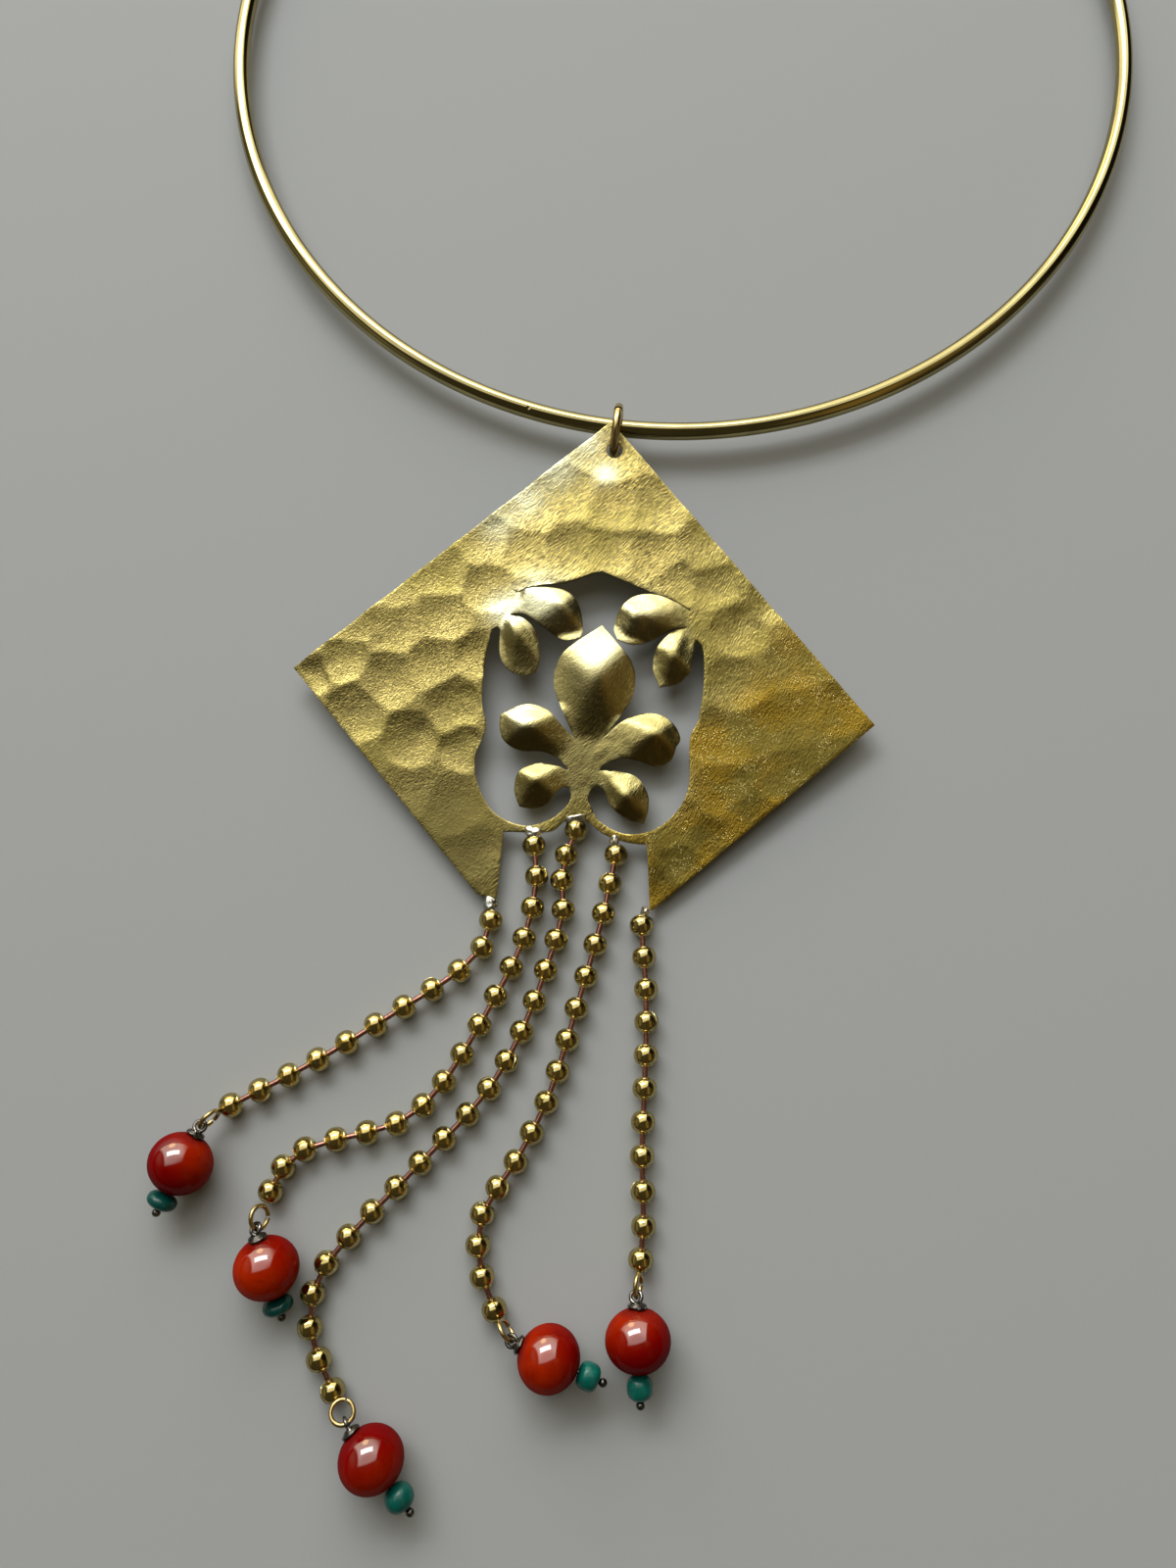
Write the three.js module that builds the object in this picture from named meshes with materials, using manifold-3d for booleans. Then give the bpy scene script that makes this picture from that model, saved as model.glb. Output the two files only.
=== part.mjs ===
// A choker lying on its back on a flat surface: a stiff round neck ring carries a square hammered
// brass plate on one jump ring. The plate is pierced with a window of nine pressed leaves, and five
// ball chains soldered along its lower edge each end in a red bead and a small green bead on a pin.
//
// Millimetres. +X is the wearer's left, +Y runs from the beads to the back of the neck, +Z is up,
// away from the surface. Everything is laid out from the plate's centre line and the finished group
// is then moved, so that its origin is the bottom centre of its bounding box.

import * as THREE from 'three';
import { mergeVertices } from 'three/addons/utils/BufferGeometryUtils.js';
import Module from 'manifold-3d';

const wasm = await Module();
wasm.setup();

const DEG = Math.PI / 180;

// ---- driving dimensions ----------------------------------------------------------------------

const GAP = 0.3; // clearance between pieces that only touch
const BEAD_GAP = 0.15; // between the beads of a drop, and under its coil of wire
const WELD = 1e-4; // points nearer than this are one vertex

// Neck ring: one round rod bent to a slightly oval loop, open at the back inside the clasp.
const RING_WIRE = 2.5;
const RING_HALF_LONG = 68.3;
const RING_HALF_SHORT = 65.7;
const RING_TURN = 12.5 * DEG; // long axis, from +X
const RING_CENTRE = [14.5, 116.7];
const RING_FRONT = [51.3, 3.55]; // Y and Z of the rod where the jump ring holds it off the surface
const RING_SIDES = 12;
const RING_STEPS = 64;
const RING_END_SPACE = 1.0; // between the two rod ends, inside the clasp

// Clasp: a plain sleeve over the two ends of the neck ring, resting on one of its flats.
const CLASP_ACROSS = 4.2; // across the flats
const CLASP_BORE = 3.2;
const CLASP_LENGTH = 8;
const CLASP_SIDES = 12;

// Jump ring: stands upright, through the plate's hole and round the neck ring.
const JUMP_OUTER = 8.3;
const JUMP_WIRE = 1.25;
const JUMP_CENTRE = [4.1, 50.35];
const JUMP_TURN = 7 * DEG; // of its plane, from the Y axis towards +X

// Plate: thin sheet, its tip raised over the neck ring and its feet close to the surface.
const PLATE_THICK = 0.7;
const PLATE_TILT = 3.5 * DEG;
const PLATE_LIFT = 2.55; // middle of the sheet at its own origin
const HOLE_CENTRE = [3.8, 47.1];
const HOLE_ACROSS = 2.3;
const HOLE_SIDES = 16;
const CURVE_STEPS = 3; // between two points of a smooth outline
const CUT_DEPTH = 20; // of the cuts through the sheet and its leaves

// Ball chains: hollow gilt balls on short pins. Each one is a tube along its route here.
const BALL = 3.2;
const CHAIN_SIDES = 8;
const CHAIN_STEP = 2.2; // spacing of the tube's sections, in ball diameters
const CHAIN_OVERRUN = 0.8; // of the tube past the middle of the last ball

// Drops: a red bead and a small green bead on a head pin, whose eye hangs in a link ring.
const RED_BEAD = 8.15;
const RED_BEAD_LENGTH = 7.65;
const RED_BEAD_FULLNESS = 2; // a round outline
const PIN_WIRE = 0.5;
const BEAD_BORE = PIN_WIRE + 2 * GAP;
const PIN_HEAD = 1.1;
const EYE_RADIUS = 0.7; // of the wire's middle line
const EYE_DISTANCE = 5.0; // from the red bead's middle
const EYE_DROP = 0.5; // the eye hangs this much below the pin's line
const WRAP_RADIUS = 1.0;
const WRAP_LENGTH = 0.4;
const LINK_RADIUS = 1.4; // of the wire's middle line
const LINK_WIRE = 0.6;

// How finely the round pieces are faceted: round each one, and along it or from pole to pole.
const FACETS = {
  jumpRing: [8, 20],
  solder: [8, 4],
  ball: [10, 6],
  redBead: [16, 7],
  greenBead: [12, 5],
  pin: 6,
  pinHead: [8, 4],
  eye: [5, 10],
  wrap: 8,
  link: [6, 14],
};

// ---- short tables ------------------------------------------------------------------------------

// Plate outlines lie in the plate's own plane: u to the right, v towards its tip. A stretch is
// smooth from its first point to its last, and a corner or a cusp falls between two stretches.
const PLATE_EDGE = [
  [[3.3, 51.3], [39.2, 7.5]],
  [[39.2, 7.5], [8.3, -17.9]],
  [[8.3, -17.9], [8.0, -8.8]],
  [[8.0, -8.8], [5.3, -8.5], [2.2, -7.4], [0.0, -5.7], [-1.7, -4.7]],
  [[-1.7, -4.7], [-3.2, -5.6], [-4.6, -6.8], [-6.6, -7.1], [-11.4, -7.0]],
  [[-11.4, -7.0], [-12.3, -16.2]],
  [[-12.3, -16.2], [-14.9, -15.4]],
  [[-14.9, -15.4], [-40.7, 15.8]],
  [[-40.7, 15.8], [3.3, 51.3]],
];

const WINDOW_EDGE = [
  [[2.05, 29.4], [5.7, 27.75], [9.0, 26.3], [11.5, 25.5], [14.25, 23.8]],
  [[14.25, 23.8], [15.2, 19.35]],
  [[15.2, 19.35], [15.95, 18.0], [15.95, 13.5], [15.2, 8.5], [13.95, 5.5], [13.75, -0.5],
    [12.1, -4.2], [8.9, -6.8], [5.0, -7.35], [1.6, -5.6], [0.1, -3.0]],
  [[0.1, -3.0], [-2.4, -3.0]],
  [[-2.4, -3.0], [-4.9, -5.25], [-8.7, -6.2], [-12.7, -4.4], [-14.9, -0.7], [-15.4, 3.2],
    [-13.95, 7.3], [-14.55, 11.0], [-14.2, 16.5], [-13.3, 21.0]],
  [[-13.3, 21.0], [-12.55, 21.4]],
  [[-12.55, 21.4], [-9.85, 26.5]],
  [[-9.85, 26.5], [-6.5, 27.35], [-2.4, 27.95], [0.2, 28.9], [2.05, 29.4]],
];

// The leaves are left standing in the window: two on its left side, two on its right side, and a
// spray of five on a stem from its lower edge. Each outline overlaps the sheet at its root.
const LEFT_LEAVES = [
  [[-9.85, 26.3], [-6.6, 27.0], [-3.2, 26.6], [-1.3, 24.7], [-0.65, 21.5], [-1.0, 19.85]],
  [[-1.0, 19.85], [-3.3, 19.5], [-6.2, 21.4], [-8.6, 23.05], [-10.8, 23.3]],
  [[-10.8, 23.15], [-8.7, 22.4], [-7.1, 20.4], [-6.65, 17.2], [-7.1, 15.1]],
  [[-7.1, 15.1], [-8.6, 14.6], [-10.7, 15.2], [-12.1, 17.4], [-12.1, 21.2]],
  [[-12.55, 21.7], [-14.0, 23.0]],
  [[-14.0, 23.0], [-10.6, 27.2]],
];

const RIGHT_LEAVES = [
  [[13.65, 21.25], [11.6, 20.95], [8.7, 19.45], [6.2, 18.85], [4.15, 19.5]],
  [[4.15, 19.5], [3.65, 21.0], [4.2, 23.3], [6.3, 25.6], [9.3, 26.0], [12.0, 24.95], [14.2, 23.6]],
  [[14.2, 23.6], [16.4, 22.5]],
  [[16.4, 22.5], [15.7, 19.7]],
  [[15.7, 19.7], [14.75, 19.1], [14.4, 17.0], [14.1, 14.9]],
  [[14.1, 14.9], [12.4, 13.4], [9.9, 12.9]],
  [[9.9, 12.9], [9.0, 15.4], [9.5, 18.2], [11.5, 20.5], [13.65, 21.1]],
];

const SPRAY = [
  [[-2.9, -4.2], [-2.25, -2.0], [-2.95, -0.9], [-4.2, -1.5], [-5.7, -3.3], [-7.5, -3.85], [-9.3, -3.6]],
  [[-9.3, -3.6], [-10.0, -1.4], [-9.4, 1.2], [-6.9, 2.3], [-4.3, 2.0], [-2.75, 1.3]],
  [[-2.75, 1.5], [-4.0, 3.0], [-6.2, 3.95], [-9.4, 4.15], [-11.5, 5.5], [-12.1, 7.2], [-12.0, 9.0]],
  [[-12.0, 9.0], [-10.2, 10.0], [-8.0, 10.55], [-5.6, 9.7], [-3.6, 7.6], [-1.85, 5.8]],
  [[-1.85, 5.8], [-3.6, 9.9], [-4.7, 13.5], [-3.9, 16.9], [-1.5, 19.2], [2.0, 21.6]],
  [[2.0, 21.6], [4.2, 18.8], [6.3, 15.8], [6.3, 12.1], [4.3, 8.6], [1.85, 5.5]],
  [[1.85, 5.5], [4.2, 7.65], [7.0, 9.05], [9.7, 9.05], [11.8, 7.6], [12.65, 5.7], [12.1, 4.6]],
  [[12.1, 4.6], [11.3, 2.7], [9.3, 1.9], [6.9, 2.6], [4.3, 2.95], [2.4, 2.2], [1.55, 1.5]],
  [[1.55, 1.3], [4.2, 1.15], [6.6, 0.4], [8.1, -1.8], [8.2, -4.0], [7.6, -5.95]],
  [[7.6, -5.95], [5.3, -5.3], [3.2, -3.7], [2.25, -1.6], [1.4, -0.8], [0.35, -1.4], [0.0, -3.0],
    [0.5, -4.4]],
];

// Each leaf is pressed up to one apex, and flat facets fall from it. A facet is the way that it
// faces, in degrees from +u, and how far from the apex it reaches the sheet's own level.
const LEAF_CROWNS = [
  { apex: [-3.4, 24.2], height: 1.6, facets: [[75, 3.2], [5, 2.8], [-75, 4.6], [195, 9.0]] },
  { apex: [-9.8, 20.9], height: 1.3, facets: [[70, 2.6], [190, 2.4], [15, 3.2], [-90, 6.2]] },
  { apex: [6.6, 22.7], height: 1.6, facets: [[85, 3.4], [190, 3.0], [-80, 3.8], [0, 8.0]] },
  { apex: [11.8, 17.4], height: 1.4, facets: [[110, 3.4], [195, 2.9], [-75, 4.4], [15, 2.8]] },
  { apex: [1.2, 14.2], height: 2.2, facets: [[92, 7.4], [192, 5.9], [-14, 5.4], [-90, 8.6]] },
  { apex: [-8.5, 7.4], height: 1.7, facets: [[95, 3.1], [185, 3.6], [-100, 3.4], [-20, 6.6]] },
  { apex: [-7.2, 0.1], height: 1.4, facets: [[95, 2.2], [185, 2.9], [-90, 4.0], [0, 4.6]] },
  { apex: [9.4, 6.3], height: 1.7, facets: [[85, 2.9], [10, 3.3], [-75, 4.3], [190, 8.0]] },
  { apex: [5.3, -2.3], height: 1.4, facets: [[75, 3.2], [0, 3.0], [-85, 3.5], [190, 3.0]] },
];
const FACET_SHARPNESS = 9;
const PRESSED = { left: -18, bottom: -8, width: 36, depth: 38, pitch: 2 }; // sheet for the leaves

// Routes of the chains along their balls' middles, from the ball soldered to the plate.
const CHAIN_ROUTES = [
  [[-13.0, -18.9], [-14.1, -22.5], [-17.1, -25.6], [-24.3, -30.3], [-35.4, -37.1], [-46.5, -42.9]],
  [[-7.3, -8.8], [-6.9, -13.0], [-8.5, -21.3], [-12.2, -28.9], [-18.8, -39.9], [-21.4, -42.9],
    [-24.8, -45.2], [-32.6, -47.2], [-36.6, -48.4], [-39.3, -50.6], [-40.8, -53.6]],
  [[-1.6, -6.7], [-2.9, -10.1], [-3.5, -13.5], [-3.3, -17.5], [-5.6, -25.5], [-8.7, -33.5],
    [-12.9, -40.8], [-21.6, -50.1], [-30.5, -59.1], [-33.2, -62.3], [-34.8, -65.9], [-35.0, -69.9],
    [-33.7, -73.7], [-31.8, -77.3]],
  [[3.8, -10.1], [2.1, -18.0], [-1.5, -30.5], [-5.4, -42.5], [-9.3, -49.9], [-13.5, -56.3],
    [-14.0, -60.1], [-13.4, -63.9], [-11.8, -67.8]],
  [[7.2, -19.6], [7.7, -28.0], [7.6, -36.5], [7.0, -49.2], [7.1, -57.8], [6.7, -61.8]],
];

// Solder that fastens each chain's first ball: its middle, and its radii along X, Y and Z.
const SOLDER = [
  { at: [-13.1, -16.8, 1.7], radii: [0.9, 1.2, 0.8] },
  { at: [-7.4, -7.1, 2.1], radii: [1.2, 0.9, 0.85] },
  { at: [-1.6, -5.2, 2.0], radii: [1.6, 0.8, 0.85] },
  { at: [3.6, -8.3, 2.0], radii: [0.7, 1.0, 0.9] },
  { at: [7.7, -17.9, 1.7], radii: [0.7, 0.9, 0.8] },
];

// Drops, in the order of their chains. heading: of the pin from the red bead to its head, from +X.
// dip: of the head end. green: diameter, length and fullness of the small bead, where 2 is a round
// outline and more is squarer. link: heading and fall of the link ring from the eye to the chain,
// and its roll, 0 lying flat and 90 on edge.
const DROPS = [
  { at: [-51.8, -49.9], heading: -115, dip: 3, green: [3.9, 2.1, 2.2], link: [42, 20, 78] },
  { at: [-40.2, -62.4], heading: -74, dip: 15, green: [3.9, 2.1, 2.2], link: [78, 20, 55] },
  { at: [-26.3, -84.3], heading: -51, dip: 3, green: [3.7, 3.2, 2.2], link: [120, 15, 12] },
  { at: [-4.8, -72.9], heading: -23, dip: 3, green: [3.4, 2.7, 3.0], link: [123, 20, 78] },
  { at: [6.2, -70.8], heading: -88, dip: 3, green: [3.2, 3.0, 2.6], link: [78, 20, 72] },
];

// ---- materials -----------------------------------------------------------------------------------

function metal(colour, roughness) {
  return new THREE.MeshStandardMaterial({ color: colour, roughness, metalness: 1 });
}

const GILT = metal(0xd9bf76, 0.15);
const SHEET_BRASS = metal(0xb99c52, 0.35);
const WIRE_BRASS = metal(0xb59f5e, 0.25);
const DARK_WIRE = metal(0x3c3a38, 0.3);
const RED_GLASS = new THREE.MeshStandardMaterial({ color: 0xb01408, roughness: 0.08, metalness: 0 });
const GREEN_STONE = new THREE.MeshStandardMaterial({ color: 0x064f44, roughness: 0.3, metalness: 0 });

// ---- solids --------------------------------------------------------------------------------------

// A geometry reduced to its positions, with shared vertices merged.
function welded(geometry) {
  geometry.deleteAttribute('normal');
  geometry.deleteAttribute('uv');
  return mergeVertices(geometry, WELD);
}

function toSolid(geometry) {
  const closed = welded(geometry);
  const vertProperties = new Float32Array(closed.attributes.position.array);
  const triVerts = new Uint32Array(closed.index.array);
  return new wasm.Manifold(new wasm.Mesh({ numProp: 3, vertProperties, triVerts }));
}

function fromSolid(solid) {
  const mesh = solid.getMesh();
  const geometry = new THREE.BufferGeometry();
  geometry.setAttribute('position', new THREE.BufferAttribute(mesh.vertProperties, 3));
  geometry.setIndex(new THREE.BufferAttribute(mesh.triVerts, 1));
  return geometry;
}

function join(geometries) {
  return geometries.map(toSolid).reduce((whole, piece) => whole.add(piece));
}

function piece(name, geometry, material) {
  const shown = geometry.clone();
  shown.computeVertexNormals();
  const mesh = new THREE.Mesh(shown, material.clone());
  mesh.name = name;
  return mesh;
}

// A regular polygon, with a flat at the bottom and the given size across its flats.
function polygon(sides, across, centre = [0, 0]) {
  const reach = across / 2 / Math.cos(Math.PI / sides);
  return Array.from({ length: sides }, (_, i) => {
    const turn = ((i + 0.5) * 2 * Math.PI) / sides;
    return new THREE.Vector2(centre[0] + reach * Math.cos(turn), centre[1] + reach * Math.sin(turn));
  });
}

// Part of a longer curve, from one arc length to another.
class Stretch extends THREE.Curve {
  constructor(whole, start, end) {
    super();
    this.whole = whole;
    this.from = start / whole.getLength();
    this.to = end / whole.getLength();
  }

  getPoint(t) {
    return this.whole.getPointAt(THREE.MathUtils.lerp(this.from, this.to, t));
  }
}

// ---- neck ring, clasp and jump ring ----------------------------------------------------------------

// The ring's plane falls from the jump ring, at the front, to the clasp, at the back.
const clasp = {
  x: RING_CENTRE[0] - RING_HALF_SHORT * Math.sin(RING_TURN),
  y: RING_CENTRE[1] + RING_HALF_SHORT * Math.cos(RING_TURN),
  z: CLASP_ACROSS / 2,
};
const ringFall = (clasp.z - RING_FRONT[1]) / (clasp.y - RING_FRONT[0]);

class NeckCurve extends THREE.Curve {
  getPoint(t) {
    const spare = RING_END_SPACE / 2 / RING_HALF_LONG;
    const turn = Math.PI / 2 + spare + t * 2 * (Math.PI - spare);
    const along = RING_HALF_LONG * Math.cos(turn);
    const across = RING_HALF_SHORT * Math.sin(turn);
    const x = RING_CENTRE[0] + along * Math.cos(RING_TURN) - across * Math.sin(RING_TURN);
    const y = RING_CENTRE[1] + along * Math.sin(RING_TURN) + across * Math.cos(RING_TURN);
    return new THREE.Vector3(x, y, RING_FRONT[1] + ringFall * (y - RING_FRONT[0]));
  }
}

function neckRing() {
  const settings = { extrudePath: new NeckCurve(), steps: RING_STEPS, bevelEnabled: false };
  const section = new THREE.Shape(polygon(RING_SIDES, RING_WIRE));
  return piece('neck_ring', welded(new THREE.ExtrudeGeometry(section, settings)), GILT);
}

// Turns a mesh so that its own Z runs along the axis and its own Y towards up, and moves it.
function place(mesh, position, axis, up = new THREE.Vector3(0, 0, 1)) {
  const z = axis.clone().normalize();
  const x = new THREE.Vector3().crossVectors(up, z).normalize();
  const y = new THREE.Vector3().crossVectors(z, x);
  mesh.quaternion.setFromRotationMatrix(new THREE.Matrix4().makeBasis(x, y, z));
  mesh.position.copy(position);
  return mesh;
}

function barrelClasp() {
  const shape = new THREE.Shape(polygon(CLASP_SIDES, CLASP_ACROSS));
  shape.holes.push(new THREE.Path(polygon(CLASP_SIDES, CLASP_BORE)));
  const sleeve = new THREE.ExtrudeGeometry(shape, { depth: CLASP_LENGTH, bevelEnabled: false });
  sleeve.translate(0, 0, -CLASP_LENGTH / 2);
  const axis = new THREE.Vector3(Math.cos(RING_TURN), Math.sin(RING_TURN), 0);
  return place(piece('barrel_clasp', welded(sleeve), GILT), clasp, axis);
}

function jumpRing() {
  const radius = (JUMP_OUTER - JUMP_WIRE) / 2;
  const torus = new THREE.TorusGeometry(radius, JUMP_WIRE / 2, ...FACETS.jumpRing);
  const middle = new THREE.Vector3(...JUMP_CENTRE, JUMP_OUTER / 2);
  const axis = new THREE.Vector3(Math.cos(JUMP_TURN), -Math.sin(JUMP_TURN), 0);
  return place(piece('jump_ring', welded(torus), WIRE_BRASS), middle, axis);
}

// ---- pendant plate ---------------------------------------------------------------------------------

// A shape from stretches: a smooth curve through each one's points, and a line to the next.
function outline(stretches) {
  const shape = new THREE.Shape();
  shape.moveTo(...stretches[0][0]);
  for (const stretch of stretches) {
    shape.lineTo(...stretch[0]);
    if (stretch.length === 2) shape.lineTo(...stretch[1]);
    else shape.splineThru(stretch.slice(1).map((point) => new THREE.Vector2(...point)));
  }
  return shape;
}

// How far the sheet is pressed up at a point of the leaves.
function pressed(u, v) {
  let height = 0;
  for (const leaf of LEAF_CROWNS) {
    const [du, dv] = [u - leaf.apex[0], v - leaf.apex[1]];
    const falls = leaf.facets.map(([way, reach]) => (
      Math.exp((FACET_SHARPNESS * (du * Math.cos(way * DEG) + dv * Math.sin(way * DEG))) / reach)
    ));
    const fall = Math.log(falls.reduce((sum, one) => sum + one)) / FACET_SHARPNESS;
    height = Math.max(height, leaf.height * (1 - fall));
  }
  return height;
}

// A sheet over the whole window, pressed up by its leaves, before their outlines are cut.
function pressedSheet() {
  const { left, bottom, width, depth, pitch } = PRESSED;
  const [columns, rows] = [Math.ceil(width / pitch), Math.ceil(depth / pitch)];
  const block = new THREE.BoxGeometry(width, depth, PLATE_THICK, columns, rows, 1);
  const sheet = welded(block.translate(left + width / 2, bottom + depth / 2, 0));
  const points = sheet.attributes.position;
  for (let i = 0; i < points.count; i += 1) {
    points.setZ(i, points.getZ(i) + pressed(points.getX(i), points.getY(i)));
  }
  return sheet;
}

// A straight-sided solid over a shape, centred on the sheet's middle.
function prism(shape, depth) {
  const settings = { depth, bevelEnabled: false, curveSegments: CURVE_STEPS };
  return new THREE.ExtrudeGeometry(shape, settings).translate(0, 0, -depth / 2);
}

function pendantPlate() {
  const hole = new THREE.Shape(polygon(HOLE_SIDES, HOLE_ACROSS, HOLE_CENTRE));
  const openings = [outline(WINDOW_EDGE), hole].map((shape) => prism(shape, CUT_DEPTH));
  const sheet = toSolid(prism(outline(PLATE_EDGE), PLATE_THICK)).subtract(join(openings));
  const leafEdges = [LEFT_LEAVES, RIGHT_LEAVES, SPRAY].map((edge) => prism(outline(edge), CUT_DEPTH));
  const leaves = toSolid(pressedSheet()).intersect(join(leafEdges));

  const frame = new THREE.Matrix4().makeRotationX(PLATE_TILT).setPosition(0, 0, PLATE_LIFT);
  const soldered = SOLDER.map(({ at, radii }) => (
    new THREE.SphereGeometry(1, ...FACETS.solder).scale(...radii).translate(...at)
  ));
  const balls = CHAIN_ROUTES.map(([[x, y]]) => (
    new THREE.SphereGeometry(BALL / 2, ...FACETS.ball).rotateX(Math.PI / 2).translate(x, y, BALL / 2)
  ));
  const fittings = join([...soldered, ...balls].map((one) => one.applyMatrix4(frame.clone().invert())));

  const whole = sheet.add(leaves).add(fittings);
  const mesh = piece('pendant_plate', fromSolid(whole), SHEET_BRASS);
  mesh.applyMatrix4(frame);
  return mesh;
}

// ---- ball chains -----------------------------------------------------------------------------------

function chain(route, number) {
  const middles = route.map(([x, y]) => new THREE.Vector3(x, y, BALL / 2));
  const end = new THREE.Vector3().subVectors(middles.at(-1), middles.at(-2)).setLength(CHAIN_OVERRUN);
  middles.push(end.add(middles.at(-1)));
  const whole = new THREE.CatmullRomCurve3(middles, false, 'centripetal');
  const stretch = new Stretch(whole, BALL / 2 + GAP, whole.getLength());
  const steps = Math.ceil(whole.getLength() / (CHAIN_STEP * BALL));
  const settings = { extrudePath: stretch, steps, bevelEnabled: false };
  const tube = new THREE.ExtrudeGeometry(new THREE.Shape(polygon(CHAIN_SIDES, BALL)), settings);
  return piece(`chain_${number}`, welded(tube), GILT);
}

// ---- drops -----------------------------------------------------------------------------------------

// A bead round the Y axis with a bore through it. Its outline is part of a superellipse.
function bead(diameter, length, fullness, [sides, rows]) {
  const radius = diameter / 2;
  const bore = BEAD_BORE / 2;
  const power = 2 / fullness;
  const last = Math.acos((bore / radius) ** (1 / power));
  const pole = length / 2 / Math.sin(last) ** power;
  const profile = Array.from({ length: rows + 1 }, (_, i) => {
    const turn = last * ((2 * i) / rows - 1);
    const out = radius * Math.cos(turn) ** power;
    return new THREE.Vector2(out, pole * Math.sign(turn) * Math.abs(Math.sin(turn)) ** power);
  });
  return welded(new THREE.LatheGeometry([...profile, profile[0].clone()], sides));
}

function cylinder(radius, from, to, sides) {
  return new THREE.CylinderGeometry(radius, radius, to - from, sides).translate(0, (from + to) / 2, 0);
}

// The pin lies along Y, its head below the beads and its eye above them.
function headPin(headY, wrapY, eyeMiddle, eyeAxis) {
  const turned = new THREE.Quaternion().setFromUnitVectors(new THREE.Vector3(0, 0, 1), eyeAxis);
  const eye = new THREE.TorusGeometry(EYE_RADIUS, PIN_WIRE / 2, ...FACETS.eye).applyQuaternion(turned);
  return fromSolid(join([
    new THREE.SphereGeometry(PIN_HEAD / 2, ...FACETS.pinHead).translate(0, headY, 0),
    cylinder(PIN_WIRE / 2, headY, wrapY + WRAP_LENGTH, FACETS.pin),
    cylinder(WRAP_RADIUS, wrapY, wrapY + WRAP_LENGTH, FACETS.wrap),
    eye.translate(...eyeMiddle),
  ]));
}

function direction(heading, fall) {
  const level = Math.cos(fall * DEG);
  return new THREE.Vector3(
    level * Math.cos(heading * DEG), level * Math.sin(heading * DEG), -Math.sin(fall * DEG),
  );
}

function drop({ at, heading, dip, green, link }, number) {
  const [greenDiameter, greenLength, fullness] = green;
  const [linkHeading, linkFall, linkRoll] = link;

  const beads = new THREE.Group();
  const along = direction(heading, dip).negate();
  const side = new THREE.Vector3().crossVectors(along, new THREE.Vector3(0, 0, 1)).normalize();
  const up = new THREE.Vector3().crossVectors(side, along);
  beads.quaternion.setFromRotationMatrix(new THREE.Matrix4().makeBasis(side, along, up));
  beads.position.set(...at, RED_BEAD / 2);

  const eyeMiddle = new THREE.Vector3(0, EYE_DISTANCE, -EYE_DROP);
  const eye = eyeMiddle.clone().applyQuaternion(beads.quaternion).add(beads.position);
  const away = direction(linkHeading, linkFall);
  const linkAxis = direction(linkHeading, linkFall - 90).applyAxisAngle(away, linkRoll * DEG);
  const eyeAxis = new THREE.Vector3().crossVectors(away, linkAxis);
  eyeAxis.applyQuaternion(beads.quaternion.clone().invert());

  const greenMiddle = -(RED_BEAD_LENGTH + greenLength) / 2 - BEAD_GAP;
  const headMiddle = greenMiddle - (greenLength + PIN_HEAD) / 2;
  const redShape = bead(RED_BEAD, RED_BEAD_LENGTH, RED_BEAD_FULLNESS, FACETS.redBead);
  const red = piece(`red_bead_${number}`, redShape, RED_GLASS);
  const greenShape = bead(greenDiameter, greenLength, fullness, FACETS.greenBead);
  const small = piece(`green_bead_${number}`, greenShape, GREEN_STONE);
  small.position.y = greenMiddle;
  const pinShape = headPin(headMiddle, RED_BEAD_LENGTH / 2 + BEAD_GAP, eyeMiddle, eyeAxis);
  beads.add(red, small, piece(`head_pin_${number}`, pinShape, DARK_WIRE));

  const torus = new THREE.TorusGeometry(LINK_RADIUS, LINK_WIRE / 2, ...FACETS.link);
  const ring = piece(`link_ring_${number}`, welded(torus), WIRE_BRASS);
  ring.quaternion.setFromUnitVectors(new THREE.Vector3(0, 0, 1), linkAxis);
  ring.position.copy(eye).addScaledVector(away, LINK_RADIUS);
  return [beads, ring];
}

// ---- assembly --------------------------------------------------------------------------------------

const choker = new THREE.Group();
choker.name = 'choker';
choker.add(neckRing(), barrelClasp(), jumpRing(), pendantPlate());
CHAIN_ROUTES.forEach((route, i) => choker.add(chain(route, i + 1)));
DROPS.forEach((row, i) => choker.add(...drop(row, i + 1)));

choker.updateMatrixWorld(true);
const bounds = new THREE.Box3().setFromObject(choker, true);
const middle = bounds.getCenter(new THREE.Vector3());
choker.position.set(-middle.x, -middle.y, -bounds.min.z);

export default choker;
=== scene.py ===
"""A choker lying on its back: a stiff gilt neck ring, a square hammered brass plate pierced with pressed
leaves, and five ball chains that end in red and green beads.

Lengths in the tables are millimetres from the plate's own origin, with +X to the right, +Y towards the
neck ring and +Z up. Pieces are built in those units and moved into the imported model's frame."""

import math
from types import SimpleNamespace

import bpy
import numpy as np
from mathutils import Matrix, Vector, noise
from mathutils.geometry import delaunay_2d_cdt
from mathutils.kdtree import KDTree


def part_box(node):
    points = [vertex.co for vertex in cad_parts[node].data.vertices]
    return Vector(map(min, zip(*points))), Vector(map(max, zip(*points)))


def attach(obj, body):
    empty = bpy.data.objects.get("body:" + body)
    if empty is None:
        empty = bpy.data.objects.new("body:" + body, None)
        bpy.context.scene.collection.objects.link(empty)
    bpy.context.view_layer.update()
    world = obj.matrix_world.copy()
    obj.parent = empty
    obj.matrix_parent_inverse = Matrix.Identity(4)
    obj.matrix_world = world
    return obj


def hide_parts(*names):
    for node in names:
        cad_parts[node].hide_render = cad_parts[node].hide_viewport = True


bl_info = {
    "name": "Leaf Plate Choker",
    "version": (1, 0, 0),
    "blender": (4, 5, 0),
    "location": "3D View > Sidebar > Choker",
    "description": "Builds a neck ring with a hammered brass plate and bead-ended ball chains",
    "category": "Add Mesh",
}

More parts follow.
